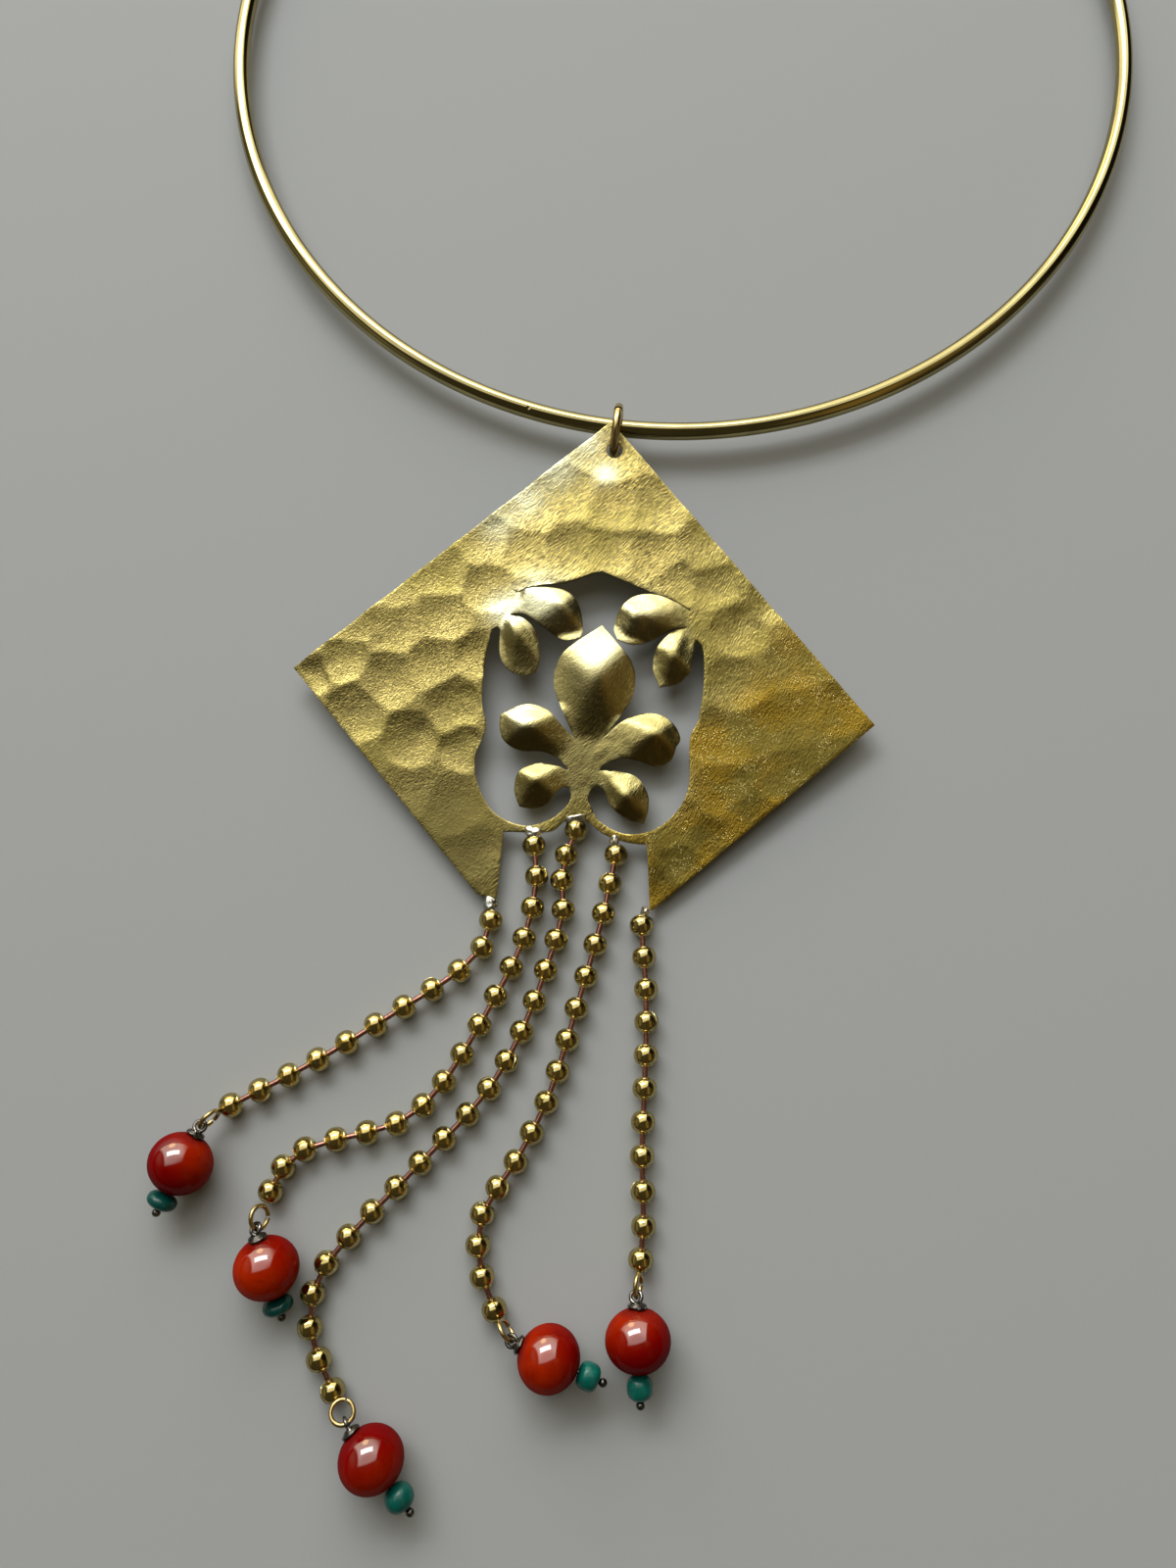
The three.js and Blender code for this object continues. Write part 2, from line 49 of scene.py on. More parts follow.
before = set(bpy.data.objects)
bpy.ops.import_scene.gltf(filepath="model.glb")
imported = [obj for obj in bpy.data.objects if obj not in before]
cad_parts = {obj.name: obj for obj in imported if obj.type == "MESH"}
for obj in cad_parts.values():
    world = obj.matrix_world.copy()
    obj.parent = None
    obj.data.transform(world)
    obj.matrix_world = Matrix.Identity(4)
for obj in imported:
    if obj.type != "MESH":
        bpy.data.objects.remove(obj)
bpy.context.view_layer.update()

MM = 0.001
UP = Vector((0, 0, 1))

# Neck ring: a slightly oval loop, whose plane falls from the jump ring to the clasp. RING_FRONT: the Y and
# Z of its middle line where it passes the jump ring.
RING_HALF_LONG = 68.3
RING_HALF_SHORT = 65.7
RING_TURN = math.radians(12.5)
RING_CENTRE = Vector((14.5, 116.7))
RING_FRONT = (51.3, 3.55)
ROD_END_GAP = 0.5
CLASP_HEIGHT = 2.1

# Jump ring: it stands on edge, nearly in line with the plate's height.
JUMP_CENTRE = Vector((4.1, 50.35, 4.15))
JUMP_TURN = math.radians(7)

# Plate: its tilt lifts the corner with the hole. PLATE_LIFT: how high the middle of the sheet is at the
# plate's own origin.
PLATE_THICK = 0.7
PLATE_TILT = math.radians(3.5)
PLATE_LIFT = 2.55
HOLE_CENTRE = (3.8, 47.1)
HOLE_RADIUS = 1.15

# Plate outlines, in the plate's own plane. Each stretch is smooth from its first point to its last.
PLATE_EDGE = [
    [(3.3, 51.3), (39.2, 7.5)],
    [(39.2, 7.5), (8.3, -17.9)],
    [(8.3, -17.9), (8.0, -8.8)],
    [(8.0, -8.8), (5.3, -8.5), (2.2, -7.4), (0.0, -5.7), (-1.7, -4.7)],
    [(-1.7, -4.7), (-3.2, -5.6), (-4.6, -6.8), (-6.6, -7.1), (-11.4, -7.0)],
    [(-11.4, -7.0), (-12.3, -16.2)],
    [(-12.3, -16.2), (-14.9, -15.4)],
    [(-14.9, -15.4), (-40.7, 15.8)],
    [(-40.7, 15.8), (3.3, 51.3)],
]

WINDOW_EDGE = [
    [(2.05, 29.4), (5.7, 27.75), (9.0, 26.3), (11.5, 25.5), (14.25, 23.8)],
    [(14.25, 23.8), (15.2, 19.35)],
    [(15.2, 19.35), (15.95, 18.0), (15.95, 13.5), (15.2, 8.5), (13.95, 5.5), (13.75, -0.5),
     (12.1, -4.2), (8.9, -6.8), (5.0, -7.35), (1.6, -5.6), (0.1, -3.0)],
    [(0.1, -3.0), (-2.4, -3.0)],
    [(-2.4, -3.0), (-4.9, -5.25), (-8.7, -6.2), (-12.7, -4.4), (-14.9, -0.7), (-15.4, 3.2),
     (-13.95, 7.3), (-14.55, 11.0), (-14.2, 16.5), (-13.3, 21.0)],
    [(-13.3, 21.0), (-12.55, 21.4)],
    [(-12.55, 21.4), (-9.85, 26.5)],
    [(-9.85, 26.5), (-6.5, 27.35), (-2.4, 27.95), (0.2, 28.9), (2.05, 29.4)],
]

LEFT_LEAVES = [
    [(-9.85, 26.3), (-6.6, 27.0), (-3.2, 26.6), (-1.3, 24.7), (-0.65, 21.5), (-1.0, 19.85)],
    [(-1.0, 19.85), (-3.3, 19.5), (-6.2, 21.4), (-8.6, 23.05), (-10.8, 23.3)],
    [(-10.8, 23.15), (-8.7, 22.4), (-7.1, 20.4), (-6.65, 17.2), (-7.1, 15.1)],
    [(-7.1, 15.1), (-8.6, 14.6), (-10.7, 15.2), (-12.1, 17.4), (-12.1, 21.2)],
    [(-12.55, 21.7), (-14.0, 23.0)],
    [(-14.0, 23.0), (-10.6, 27.2)],
]

RIGHT_LEAVES = [
    [(13.65, 21.25), (11.6, 20.95), (8.7, 19.45), (6.2, 18.85), (4.15, 19.5)],
    [(4.15, 19.5), (3.65, 21.0), (4.2, 23.3), (6.3, 25.6), (9.3, 26.0), (12.0, 24.95), (14.2, 23.6)],
    [(14.2, 23.6), (16.4, 22.5)],
    [(16.4, 22.5), (15.7, 19.7)],
    [(15.7, 19.7), (14.75, 19.1), (14.4, 17.0), (14.1, 14.9)],
    [(14.1, 14.9), (12.4, 13.4), (9.9, 12.9)],
    [(9.9, 12.9), (9.0, 15.4), (9.5, 18.2), (11.5, 20.5), (13.65, 21.1)],
]

SPRAY = [
    [(-2.9, -4.2), (-2.25, -2.0), (-2.95, -0.9), (-4.2, -1.5), (-5.7, -3.3), (-7.5, -3.85),
     (-9.3, -3.6)],
    [(-9.3, -3.6), (-10.0, -1.4), (-9.4, 1.2), (-6.9, 2.3), (-4.3, 2.0), (-2.75, 1.3)],
    [(-2.75, 1.5), (-4.0, 3.0), (-6.2, 3.95), (-9.4, 4.15), (-11.5, 5.5), (-12.1, 7.2), (-12.0, 9.0)],
    [(-12.0, 9.0), (-10.2, 10.0), (-8.0, 10.55), (-5.6, 9.7), (-3.6, 7.6), (-1.85, 5.8)],
    [(-1.85, 5.8), (-3.6, 9.9), (-4.7, 13.5), (-3.9, 16.9), (-1.5, 19.2), (2.0, 21.6)],
    [(2.0, 21.6), (4.2, 18.8), (6.3, 15.8), (6.3, 12.1), (4.3, 8.6), (1.85, 5.5)],
    [(1.85, 5.5), (4.2, 7.65), (7.0, 9.05), (9.7, 9.05), (11.8, 7.6), (12.65, 5.7), (12.1, 4.6)],
    [(12.1, 4.6), (11.3, 2.7), (9.3, 1.9), (6.9, 2.6), (4.3, 2.95), (2.4, 2.2), (1.55, 1.5)],
    [(1.55, 1.3), (4.2, 1.15), (6.6, 0.4), (8.1, -1.8), (8.2, -4.0), (7.6, -5.95)],
    [(7.6, -5.95), (5.3, -5.3), (3.2, -3.7), (2.25, -1.6), (1.4, -0.8), (0.35, -1.4), (0.0, -3.0),
     (0.5, -4.4)],
]

# Each leaf's apex, how high it is pressed, how dented it is, and its facets: the way each faces in degrees,
# and how far from the apex it comes down to the sheet.
LEAF_CROWNS = [
    ((-3.4, 24.2), 1.6, 0.5, [(75, 3.2), (5, 2.8), (-75, 4.6), (195, 9.0)]),
    ((-9.8, 20.9), 1.3, 0.2, [(70, 2.6), (190, 2.4), (15, 3.2), (-90, 6.2)]),
    ((6.6, 22.7), 1.6, 1.0, [(85, 3.4), (190, 3.0), (-80, 3.8), (0, 8.0)]),
    ((11.8, 17.4), 1.4, 1.0, [(110, 3.4), (195, 2.9), (-75, 4.4), (15, 2.8)]),
    ((1.2, 14.2), 2.2, 0.15, [(92, 7.4), (192, 5.9), (-14, 5.4), (-90, 8.6)]),
    ((-8.5, 7.4), 1.7, 0.3, [(95, 3.1), (185, 3.6), (-100, 3.4), (-20, 6.6)]),
    ((-7.2, 0.1), 1.4, 0.3, [(95, 2.2), (185, 2.9), (-90, 4.0), (0, 4.6)]),
    ((9.4, 6.3), 1.7, 0.8, [(85, 2.9), (10, 3.3), (-75, 4.3), (190, 8.0)]),
    ((5.3, -2.3), 1.4, 1.2, [(75, 3.2), (0, 3.0), (-85, 3.5), (190, 3.0)]),
]
FACET_SHARPNESS = 7
FOOT_SOFTNESS = 0.002
CROWN_HOLLOW = 1.3
LEAF_ROOT = 1.6

# The plate's mesh has a row of points just inside each cut edge. RIM_CLEAR: their least gap from the
# edge's own points. RIM_ROUNDING: how much the sheet thins at a cut edge, on each side.
RIM_INSET = 0.14
RIM_CLEAR = 0.1
RIM_ROUNDING = 0.03

# Hammer marks: middle, radius and depth of each shallow dish.
HAMMER_MARKS = [
    (-38.6, 14.6, 3.4, 0.20), (-33.2, 17.2, 3.8, 0.17), (-33.0, 21.2, 3.6, 0.14), (-27.6, 14.3, 4.6, 0.19),
    (-31.8, 9.4, 4.4, 0.18), (-26.6, 21.2, 4.7, 0.17), (-24.2, 5.6, 4.2, 0.18), (-18.6, 10.4, 4.2, 0.18),
    (-17.6, 4.6, 3.4, 0.16), (-21.8, 16.6, 4.2, 0.15), (-15.6, 17.6, 3.4, 0.14), (-20.2, 23.2, 4.2, 0.15),
    (-27.0, 26.4, 4.0, 0.13), (-20.4, 29.0, 4.3, 0.15), (-14.2, 27.4, 4.0, 0.14), (-14.2, 33.8, 4.2, 0.15),
    (-8.2, 38.8, 4.6, 0.16), (-8.6, 32.6, 4.2, 0.14), (-2.6, 32.4, 4.4, 0.16), (-2.2, 40.8, 4.6, 0.16),
    (3.6, 38.8, 4.3, 0.15), (2.2, 46.4, 5.0, 0.14), (3.4, 32.6, 4.0, 0.14), (9.8, 38.8, 4.6, 0.15),
    (9.2, 31.6, 4.2, 0.14), (16.2, 33.2, 3.8, 0.11), (12.2, 27.6, 3.8, 0.13), (17.6, 27.2, 3.7, 0.12),
    (20.9, 20.8, 4.1, 0.15), (25.0, 24.6, 3.2, 0.12), (20.6, 13.4, 4.4, 0.12), (18.2, 5.8, 4.4, 0.11),
    (24.6, 6.6, 4.6, 0.10), (30.0, 9.6, 4.8, 0.08), (28.6, 15.6, 4.6, 0.10), (26.2, 0.8, 4.4, 0.10),
    (34.2, 9.8, 4.0, 0.09), (18.6, -1.4, 4.2, 0.09), (21.4, -4.6, 3.6, 0.08), (12.4, -6.2, 3.6, 0.09),
    (16.4, -8.2, 3.6, 0.11), (12.8, -11.2, 3.2, 0.10), (9.6, -14.6, 3.0, 0.09), (-18.4, -3.4, 4.6, 0.05),
    (-24.2, -1.2, 4.0, 0.06), (-15.6, -9.6, 4.0, 0.05),
]

# Marks on the plate: middle, radius and strength of each, under its kind.
STAINS = {
    "heat": [
        (1.9, 13.3, 0.9, 0.9), (-8.6, 15.9, 1.7, 0.75), (6.9, -4.5, 1.5, 0.45), (12.4, 14.8, 1.4, 0.4),
        (-4.9, 24.4, 0.8, 0.5), (-11.9, -6.5, 0.9, 0.8), (8.2, -9.6, 0.7, 0.7), (-0.2, 10.2, 1.6, 0.3),
        (-24.8, -1.0, 1.0, 0.3), (7.6, -8.4, 0.8, 0.5),
    ],
    # A pale greenish film, partly a painted highlight on the leaves' upper parts and along the top edge.
    "pale_film_and_highlight": [
        (-6.6, 25.4, 2.9, 0.85), (-11.6, 23.8, 2.2, 0.8), (1.6, 17.6, 3.6, 0.35), (7.2, 23.8, 2.6, 0.3),
        (-9.2, 8.4, 1.6, 0.45), (-0.5, 48.5, 2.4, 0.6), (-4.5, 44.5, 2.6, 0.7), (-9.0, 40.5, 2.6, 0.6),
        (-12.8, 36.4, 2.4, 0.5), (2.5, 43.6, 1.6, 0.6),
    ],
    # Painted shade on the bottom-left leg, the hub and the bottom halves of several leaves.
    "shade": [
        (-21.0, -6.0, 7.0, 0.7), (-15.0, -13.0, 4.5, 0.55), (-1.9, 23.6, 1.1, 0.8),
        (-3.4, 12.0, 2.6, 0.35), (10.2, 20.0, 0.9, 0.3), (-1.0, 2.0, 4.0, 0.6), (-15.6, 4.0, 4.0, 0.3),
        (-0.6, -4.6, 3.0, 0.4), (-32.0, 8.0, 5.0, 0.25), (0.8, 9.0, 3.0, 0.8), (-9.8, 17.4, 2.4, 0.6),
        (12.6, 15.2, 1.6, 0.5), (10.8, 4.0, 1.8, 0.5), (6.6, -4.2, 1.6, 0.5), (3.6, 20.6, 1.4, 0.6),
        (-12.0, 5.6, 1.5, 0.4),
    ],
}

# Routes of the chains: the number of a ball along its chain, and where its middle lies.
CHAINS = [
    [(0, -13.0, -18.9), (1, -14.1, -22.5), (2, -17.1, -25.6), (4, -24.3, -30.3), (7, -35.4, -37.1),
     (10, -46.5, -42.9)],
    [(0, -7.3, -8.8), (1, -6.9, -13.0), (3, -8.5, -21.3), (5, -12.2, -28.9), (8, -18.8, -39.9),
     (9, -21.4, -42.9), (10, -24.8, -45.2), (12, -32.6, -47.2), (13, -36.6, -48.4), (14, -39.3, -50.6),
     (15, -40.8, -53.6)],
    [(0, -1.6, -6.7), (1, -2.9, -10.1), (2, -3.5, -13.5), (3, -3.3, -17.5), (5, -5.6, -25.5),
     (7, -8.7, -33.5), (9, -12.9, -40.8), (12, -21.6, -50.1), (15, -30.5, -59.1), (16, -33.2, -62.3),
     (17, -34.8, -65.9), (18, -35.0, -69.9), (19, -33.7, -73.7), (20, -31.8, -77.3)],
    [(0, 3.8, -10.1), (2, 2.1, -18.0), (5, -1.5, -30.5), (8, -5.4, -42.5), (10, -9.3, -49.9),
     (12, -13.5, -56.3), (13, -14.0, -60.1), (14, -13.4, -63.9), (15, -11.8, -67.8)],
    [(0, 7.2, -19.6), (2, 7.7, -28.0), (4, 7.6, -36.5), (7, 7.0, -49.2), (9, 7.1, -57.8),
     (10, 6.7, -61.8)],
]

# Solder above each chain's first ball. tarnish: how dark it is.
SOLDER = [
    {"at": (-13.1, -16.8, 1.7), "radii": (0.9, 1.1, 0.8), "tarnish": 0.8},
    {"at": (-7.4, -7.1, 2.1), "radii": (1.2, 0.9, 0.85), "tarnish": 0.1},
    {"at": (-1.6, -5.2, 2.0), "radii": (1.6, 0.8, 0.85), "tarnish": 0.4},
    {"at": (3.6, -8.3, 2.0), "radii": (0.7, 1.0, 0.9), "tarnish": 0.05},
    {"at": (7.7, -17.9, 1.7), "radii": (0.7, 0.9, 0.8), "tarnish": 0.0},
]

# Drops. at: the red bead's middle. heading: the way that the pin points from the red bead to its head, in
# degrees from +X. dip: how far that end points down. green: the small bead's diameter, length and fullness.
# link: the link ring's heading, its fall, and its roll, 0 lying flat and 90 on edge. glow: the side on
# which the red bead turns to orange, and how far it does all over. shade: how dark it is. pale: how light
# the green bead is.
DROPS = [
    {"at": (-51.8, -49.9), "heading": -115, "dip": 3, "green": (3.9, 2.1, 2.2), "link": (42, 20, 78),
     "glow": (0.9, 0.3, 0.1), "shade": 0.25, "pale": 0.1},
    {"at": (-40.2, -62.4), "heading": -74, "dip": 15, "green": (3.9, 2.1, 2.2), "link": (78, 20, 55),
     "glow": (-0.3, -0.5, 0.8), "shade": 0.0, "pale": 0.0},
    {"at": (-26.3, -84.3), "heading": -51, "dip": 3, "green": (3.7, 3.2, 2.2), "link": (120, 15, 12),
     "glow": (0.3, -0.6, 0.35), "shade": 0.45, "pale": 0.5},
    {"at": (-4.8, -72.9), "heading": -23, "dip": 3, "green": (3.4, 2.7, 3.0), "link": (123, 20, 78),
     "glow": (-0.7, -0.2, 0.75), "shade": 0.25, "pale": 0.7},
    {"at": (6.2, -70.8), "heading": -88, "dip": 3, "green": (3.2, 3.0, 2.6), "link": (78, 20, 72),
     "glow": (-0.5, 0.8, 0.15), "shade": 0.4, "pale": 0.8},
]
BEAD_BORE = 0.9
BEAD_GAP = 0.15
EYE_RADIUS = 0.7
EYE_MIDDLE = Vector((0, 5.0, -0.5))
LINK_RADIUS = 1.4

# Head pins: points of the straight wire above its head, up to the neck, counted from the red bead's
# middle, and the coil round the neck, which starts at its top and comes down a little as it widens.
PIN_SHANK = (3.1, 3.9, 4.2)
COIL_TOP = 4.26
COIL_DROP = 0.3
COIL_TURN = math.radians(830)
COIL_POINTS = 42

# The seam of a stamped ball: how wide it is round the ball, and its depth as a part of the radius.
SEAM_TURN = math.radians(3.5)
SEAM_DEPTH = 0.1

# The window lamp faces this spot, from a metre away.
WINDOW_AIM = Vector((0, -10, 0))

# The camera's place, the directions of its right side and its back, and its lens on 36 mm film.
CAMERA_AT = Vector((1.43, -31.37, 159.94))
CAMERA_RIGHT = Vector((0.99996, 0, -0.00891))
CAMERA_BACK = Vector((0.00875, -0.19249, 0.98126))
CAMERA_LENS = 27.045


# ---- settings -------------------------------------------------------------------------------------


def length(name, description, default):
    """A length that a user can change, given in millimetres."""
    return bpy.props.FloatProperty(
        name=name, description=description, default=default * MM, min=0.0, precision=5,
        subtype="DISTANCE", unit="LENGTH",
    )


def colour(name, description, default):
    return bpy.props.FloatVectorProperty(
        name=name, description=description, default=default, min=0.0, max=1.0, subtype="COLOR",
    )


class ChokerSizes(bpy.types.PropertyGroup):
    """Sizes of the choker's wires, balls and beads"""

    ring_wire: length("Neck Ring Rod", "Thickness of the neck ring's rod", 2.5)
    clasp_across: length("Clasp", "Thickness of the sleeve that closes the neck ring", 4.2)
    clasp_length: length("Clasp Length", "Length of the sleeve that closes the neck ring", 8.0)
    jump_outer: length("Jump Ring", "Outer diameter of the ring that carries the plate", 8.3)
    jump_wire: length("Jump Ring Wire", "Thickness of the jump ring's wire", 1.25)
    mesh_pitch: length("Plate Mesh", "Spacing of the points over the hammered sheet", 0.42)
    ball: length("Chain Ball", "Diameter of the balls of the chains", 3.2)
    connector: length("Chain Pin", "Thickness of the pins between the balls", 0.75)
    red_bead: length("Red Bead", "Diameter of the red beads", 8.15)
    red_length: length("Red Bead Length", "Length of the red beads along their bore", 7.65)
    pin_wire: length("Head Pin Wire", "Thickness of the head pins' wire", 0.5)
    pin_head: length("Head Pin Head", "Diameter of the ball at the end of a head pin", 1.1)
    link_wire: length("Link Wire", "Thickness of the link rings' wire", 0.6)


class ChokerColours(bpy.types.PropertyGroup):
    """Colours of the choker's metals and stones"""

    gilt: colour("Gilt", "Polished pale gold of the ring and the balls", (0.84, 0.72, 0.33))
    sheet: colour("Sheet Brass", "Brass of the hammered plate", (0.385, 0.316, 0.112))
    heat: colour("Heat Tint", "Reddish bronze where the plate was heated", (0.45, 0.17, 0.08))
    # Partly a painted highlight on the leaves' upper parts and along the plate's top edge.
    pale_film_and_highlight: colour("Bloom", "Pale greenish film on some leaves", (0.88, 0.90, 0.66))
    wire: colour("Brass Wire", "Wire of the jump ring and the link rings", (0.55, 0.42, 0.19))
    copper: colour("Copper", "Pins between the balls", (0.36, 0.17, 0.13))
    solder: colour("Solder", "Solder along the plate's lower edge", (0.80, 0.79, 0.75))
    dark_wire: colour("Dark Wire", "Oxidised silver of the head pins", (0.10, 0.095, 0.09))
    red: colour("Red Stone", "Red of the large beads", (0.155, 0.0, 0.0))
    orange: colour("Orange Stone", "Orange that shows in the large beads", (0.31, 0.015, 0.0))
    green: colour("Green Bead", "Teal green of the small beads", (0.0008, 0.055, 0.048))
    floor: colour("Floor", "Pale floor under the choker", (0.325, 0.341, 0.357))


def millimetres(context):
    """The sizes that are set in the panel, in millimetres."""
    chosen = context.scene.choker_sizes
    return SimpleNamespace(**{name: getattr(chosen, name) / MM for name in chosen.__annotations__})


# ---- shader nodes ---------------------------------------------------------------------------------


class Signal:
    """A socket in a node tree that can stand in a sum."""

    def __init__(self, nodes, socket):
        self.nodes = nodes
        self.socket = socket

    def math(self, operation, *terms):
        """A sum worked out by one node of its own."""
        return self.nodes.add("ShaderNodeMath", {"operation": operation}, dict(enumerate(terms)))

    def __add__(self, other):
        return self.math("ADD", self, other)

    def __sub__(self, other):
        return self.math("SUBTRACT", self, other)

    def __rsub__(self, other):
        return self.math("SUBTRACT", other, self)

    def __mul__(self, other):
        return self.math("MULTIPLY", self, other)

    __radd__ = __add__
    __rmul__ = __mul__


class Nodes:
    """The nodes of one material, or of the world."""

    def __init__(self, tree):
        self.tree = tree
        tree.nodes.clear()

    def add(self, kind, settings=None, inputs=None, output=0):
        """Adds a node, sets it up, fills or links its inputs, and gives one of its outputs."""
        node = self.tree.nodes.new(kind)
        for key, value in (settings or {}).items():
            setattr(node, key, value)
        for key, value in (inputs or {}).items():
            if isinstance(value, Signal):
                self.tree.links.new(value.socket, node.inputs[key])
            else:
                node.inputs[key].default_value = value
        return Signal(self, node.outputs[output]) if node.outputs else None

    def place(self):
        """Where a point of the piece is, in millimetres."""
        metres = self.add("ShaderNodeTexCoord", output="Object")
        return self.vectors("SCALE", {0: metres, "Scale": 1 / MM})

    def vectors(self, operation, inputs, output=0):
        return self.add("ShaderNodeVectorMath", {"operation": operation}, inputs, output)

    def noise(self, vector, scale, detail=2.0, distortion=0.0):
        fill = {"Vector": vector, "Scale": scale, "Detail": detail, "Distortion": distortion}
        return self.add("ShaderNodeTexNoise", inputs=fill, output="Fac")

    def cells(self, vector, scale):
        """How far each point is from the middle of its cell."""
        fill = {"Vector": vector, "Scale": scale}
        return self.add("ShaderNodeTexVoronoi", inputs=fill, output="Distance")

    def band(self, value, low, high, to_low=0.0, to_high=1.0):
        """A value moved smoothly from one range to another, and kept inside it."""
        fill = {"Value": value, "From Min": low, "From Max": high, "To Min": to_low, "To Max": to_high}
        return self.add("ShaderNodeMapRange", {"interpolation_type": "SMOOTHSTEP"}, fill)

    def mix(self, factor, first, second):
        """A mix of two colours."""
        settings = {"data_type": "RGBA"}
        return self.add("ShaderNodeMix", settings, {0: factor, 6: rgba(first), 7: rgba(second)}, 2)

    def stored(self, name):
        """A number kept at each point of the mesh."""
        settings = {"attribute_type": "GEOMETRY", "attribute_name": name}
        return self.add("ShaderNodeAttribute", settings, output="Fac")

    def bump(self, height, strength, depth, normal=None):
        """A bump of the given depth in millimetres."""
        fill = {"Height": height, "Strength": strength, "Distance": depth * MM}
        if normal:
            fill["Normal"] = normal
        return self.add("ShaderNodeBump", inputs=fill)

    def surface(self, **inputs):
        """The finished surface, from the sockets of the main shader."""
        fill = {key.replace("_", " "): rgba(value) for key, value in inputs.items()}
        shader = self.add("ShaderNodeBsdfPrincipled", inputs=fill)
        self.add("ShaderNodeOutputMaterial", inputs={"Surface": shader})


def rgba(value):
    """A colour with its alpha. A socket or a number is left as it is."""
    return value if isinstance(value, (Signal, float)) else (*value, 1)


def dimmed(shade, part):
    """A colour at part of its brightness."""
    return [channel * part for channel in shade]


def material(build):
    """The material that a finish makes, built the first time that it is asked for."""
    name = f"{build.__name__}_finish"
    made = bpy.data.materials.get(name)
    if made is None:
        made = bpy.data.materials.new(name)
        made.use_nodes = True
        build(Nodes(made.node_tree), bpy.context.scene.choker_colours)
    return made


def gilt(nodes, colours):
    """Polished gilding with faint smears and rubbed patches."""
    where = nodes.place()
    smear = nodes.noise(where, 0.35, 3.0, 0.6)
    speck = nodes.noise(where, 5.0, 2.0)
    hue = nodes.mix(nodes.band(smear, 0.35, 0.7), colours.gilt, dimmed(colours.gilt, 0.86))
    rough = nodes.band(smear, 0.3, 0.75, 0.06, 0.14) + nodes.band(speck, 0.55, 0.75, 0.0, 0.05)
    nodes.surface(
        Base_Color=hue, Metallic=1.0, Roughness=rough, Normal=nodes.bump(speck, 0.12, 0.02),
    )


def gilt_rod(nodes, colours):
    """The neck ring's gilding, with drawn lines along it, worn spots and a few nicks."""
    where = nodes.place()
    along = nodes.stored("along")
    around = nodes.stored("around")
    drawn = nodes.add("ShaderNodeCombineXYZ", inputs={0: along * 0.06, 1: around * 9.0})
    lines = nodes.noise(drawn, 1.0, 3.0)
    smear = nodes.noise(where, 0.18, 3.0, 0.4)
    nick = nodes.band(nodes.cells(where, 0.22), 0.02, 0.09, 1.0, 0.0)
    dull = nodes.band(smear, 0.35, 0.7)
    hue = nodes.mix(dull, dimmed(colours.gilt, 0.44), dimmed(colours.gilt, 0.36))
    rough = nodes.band(smear, 0.3, 0.75, 0.07, 0.13) + nodes.band(lines, 0.5, 0.8, 0.0, 0.05)
    dents = nodes.bump(nick, 0.5, -0.12, nodes.bump(lines, 0.1, 0.05))
    nodes.surface(Base_Color=hue, Metallic=1.0, Roughness=rough, Normal=dents)


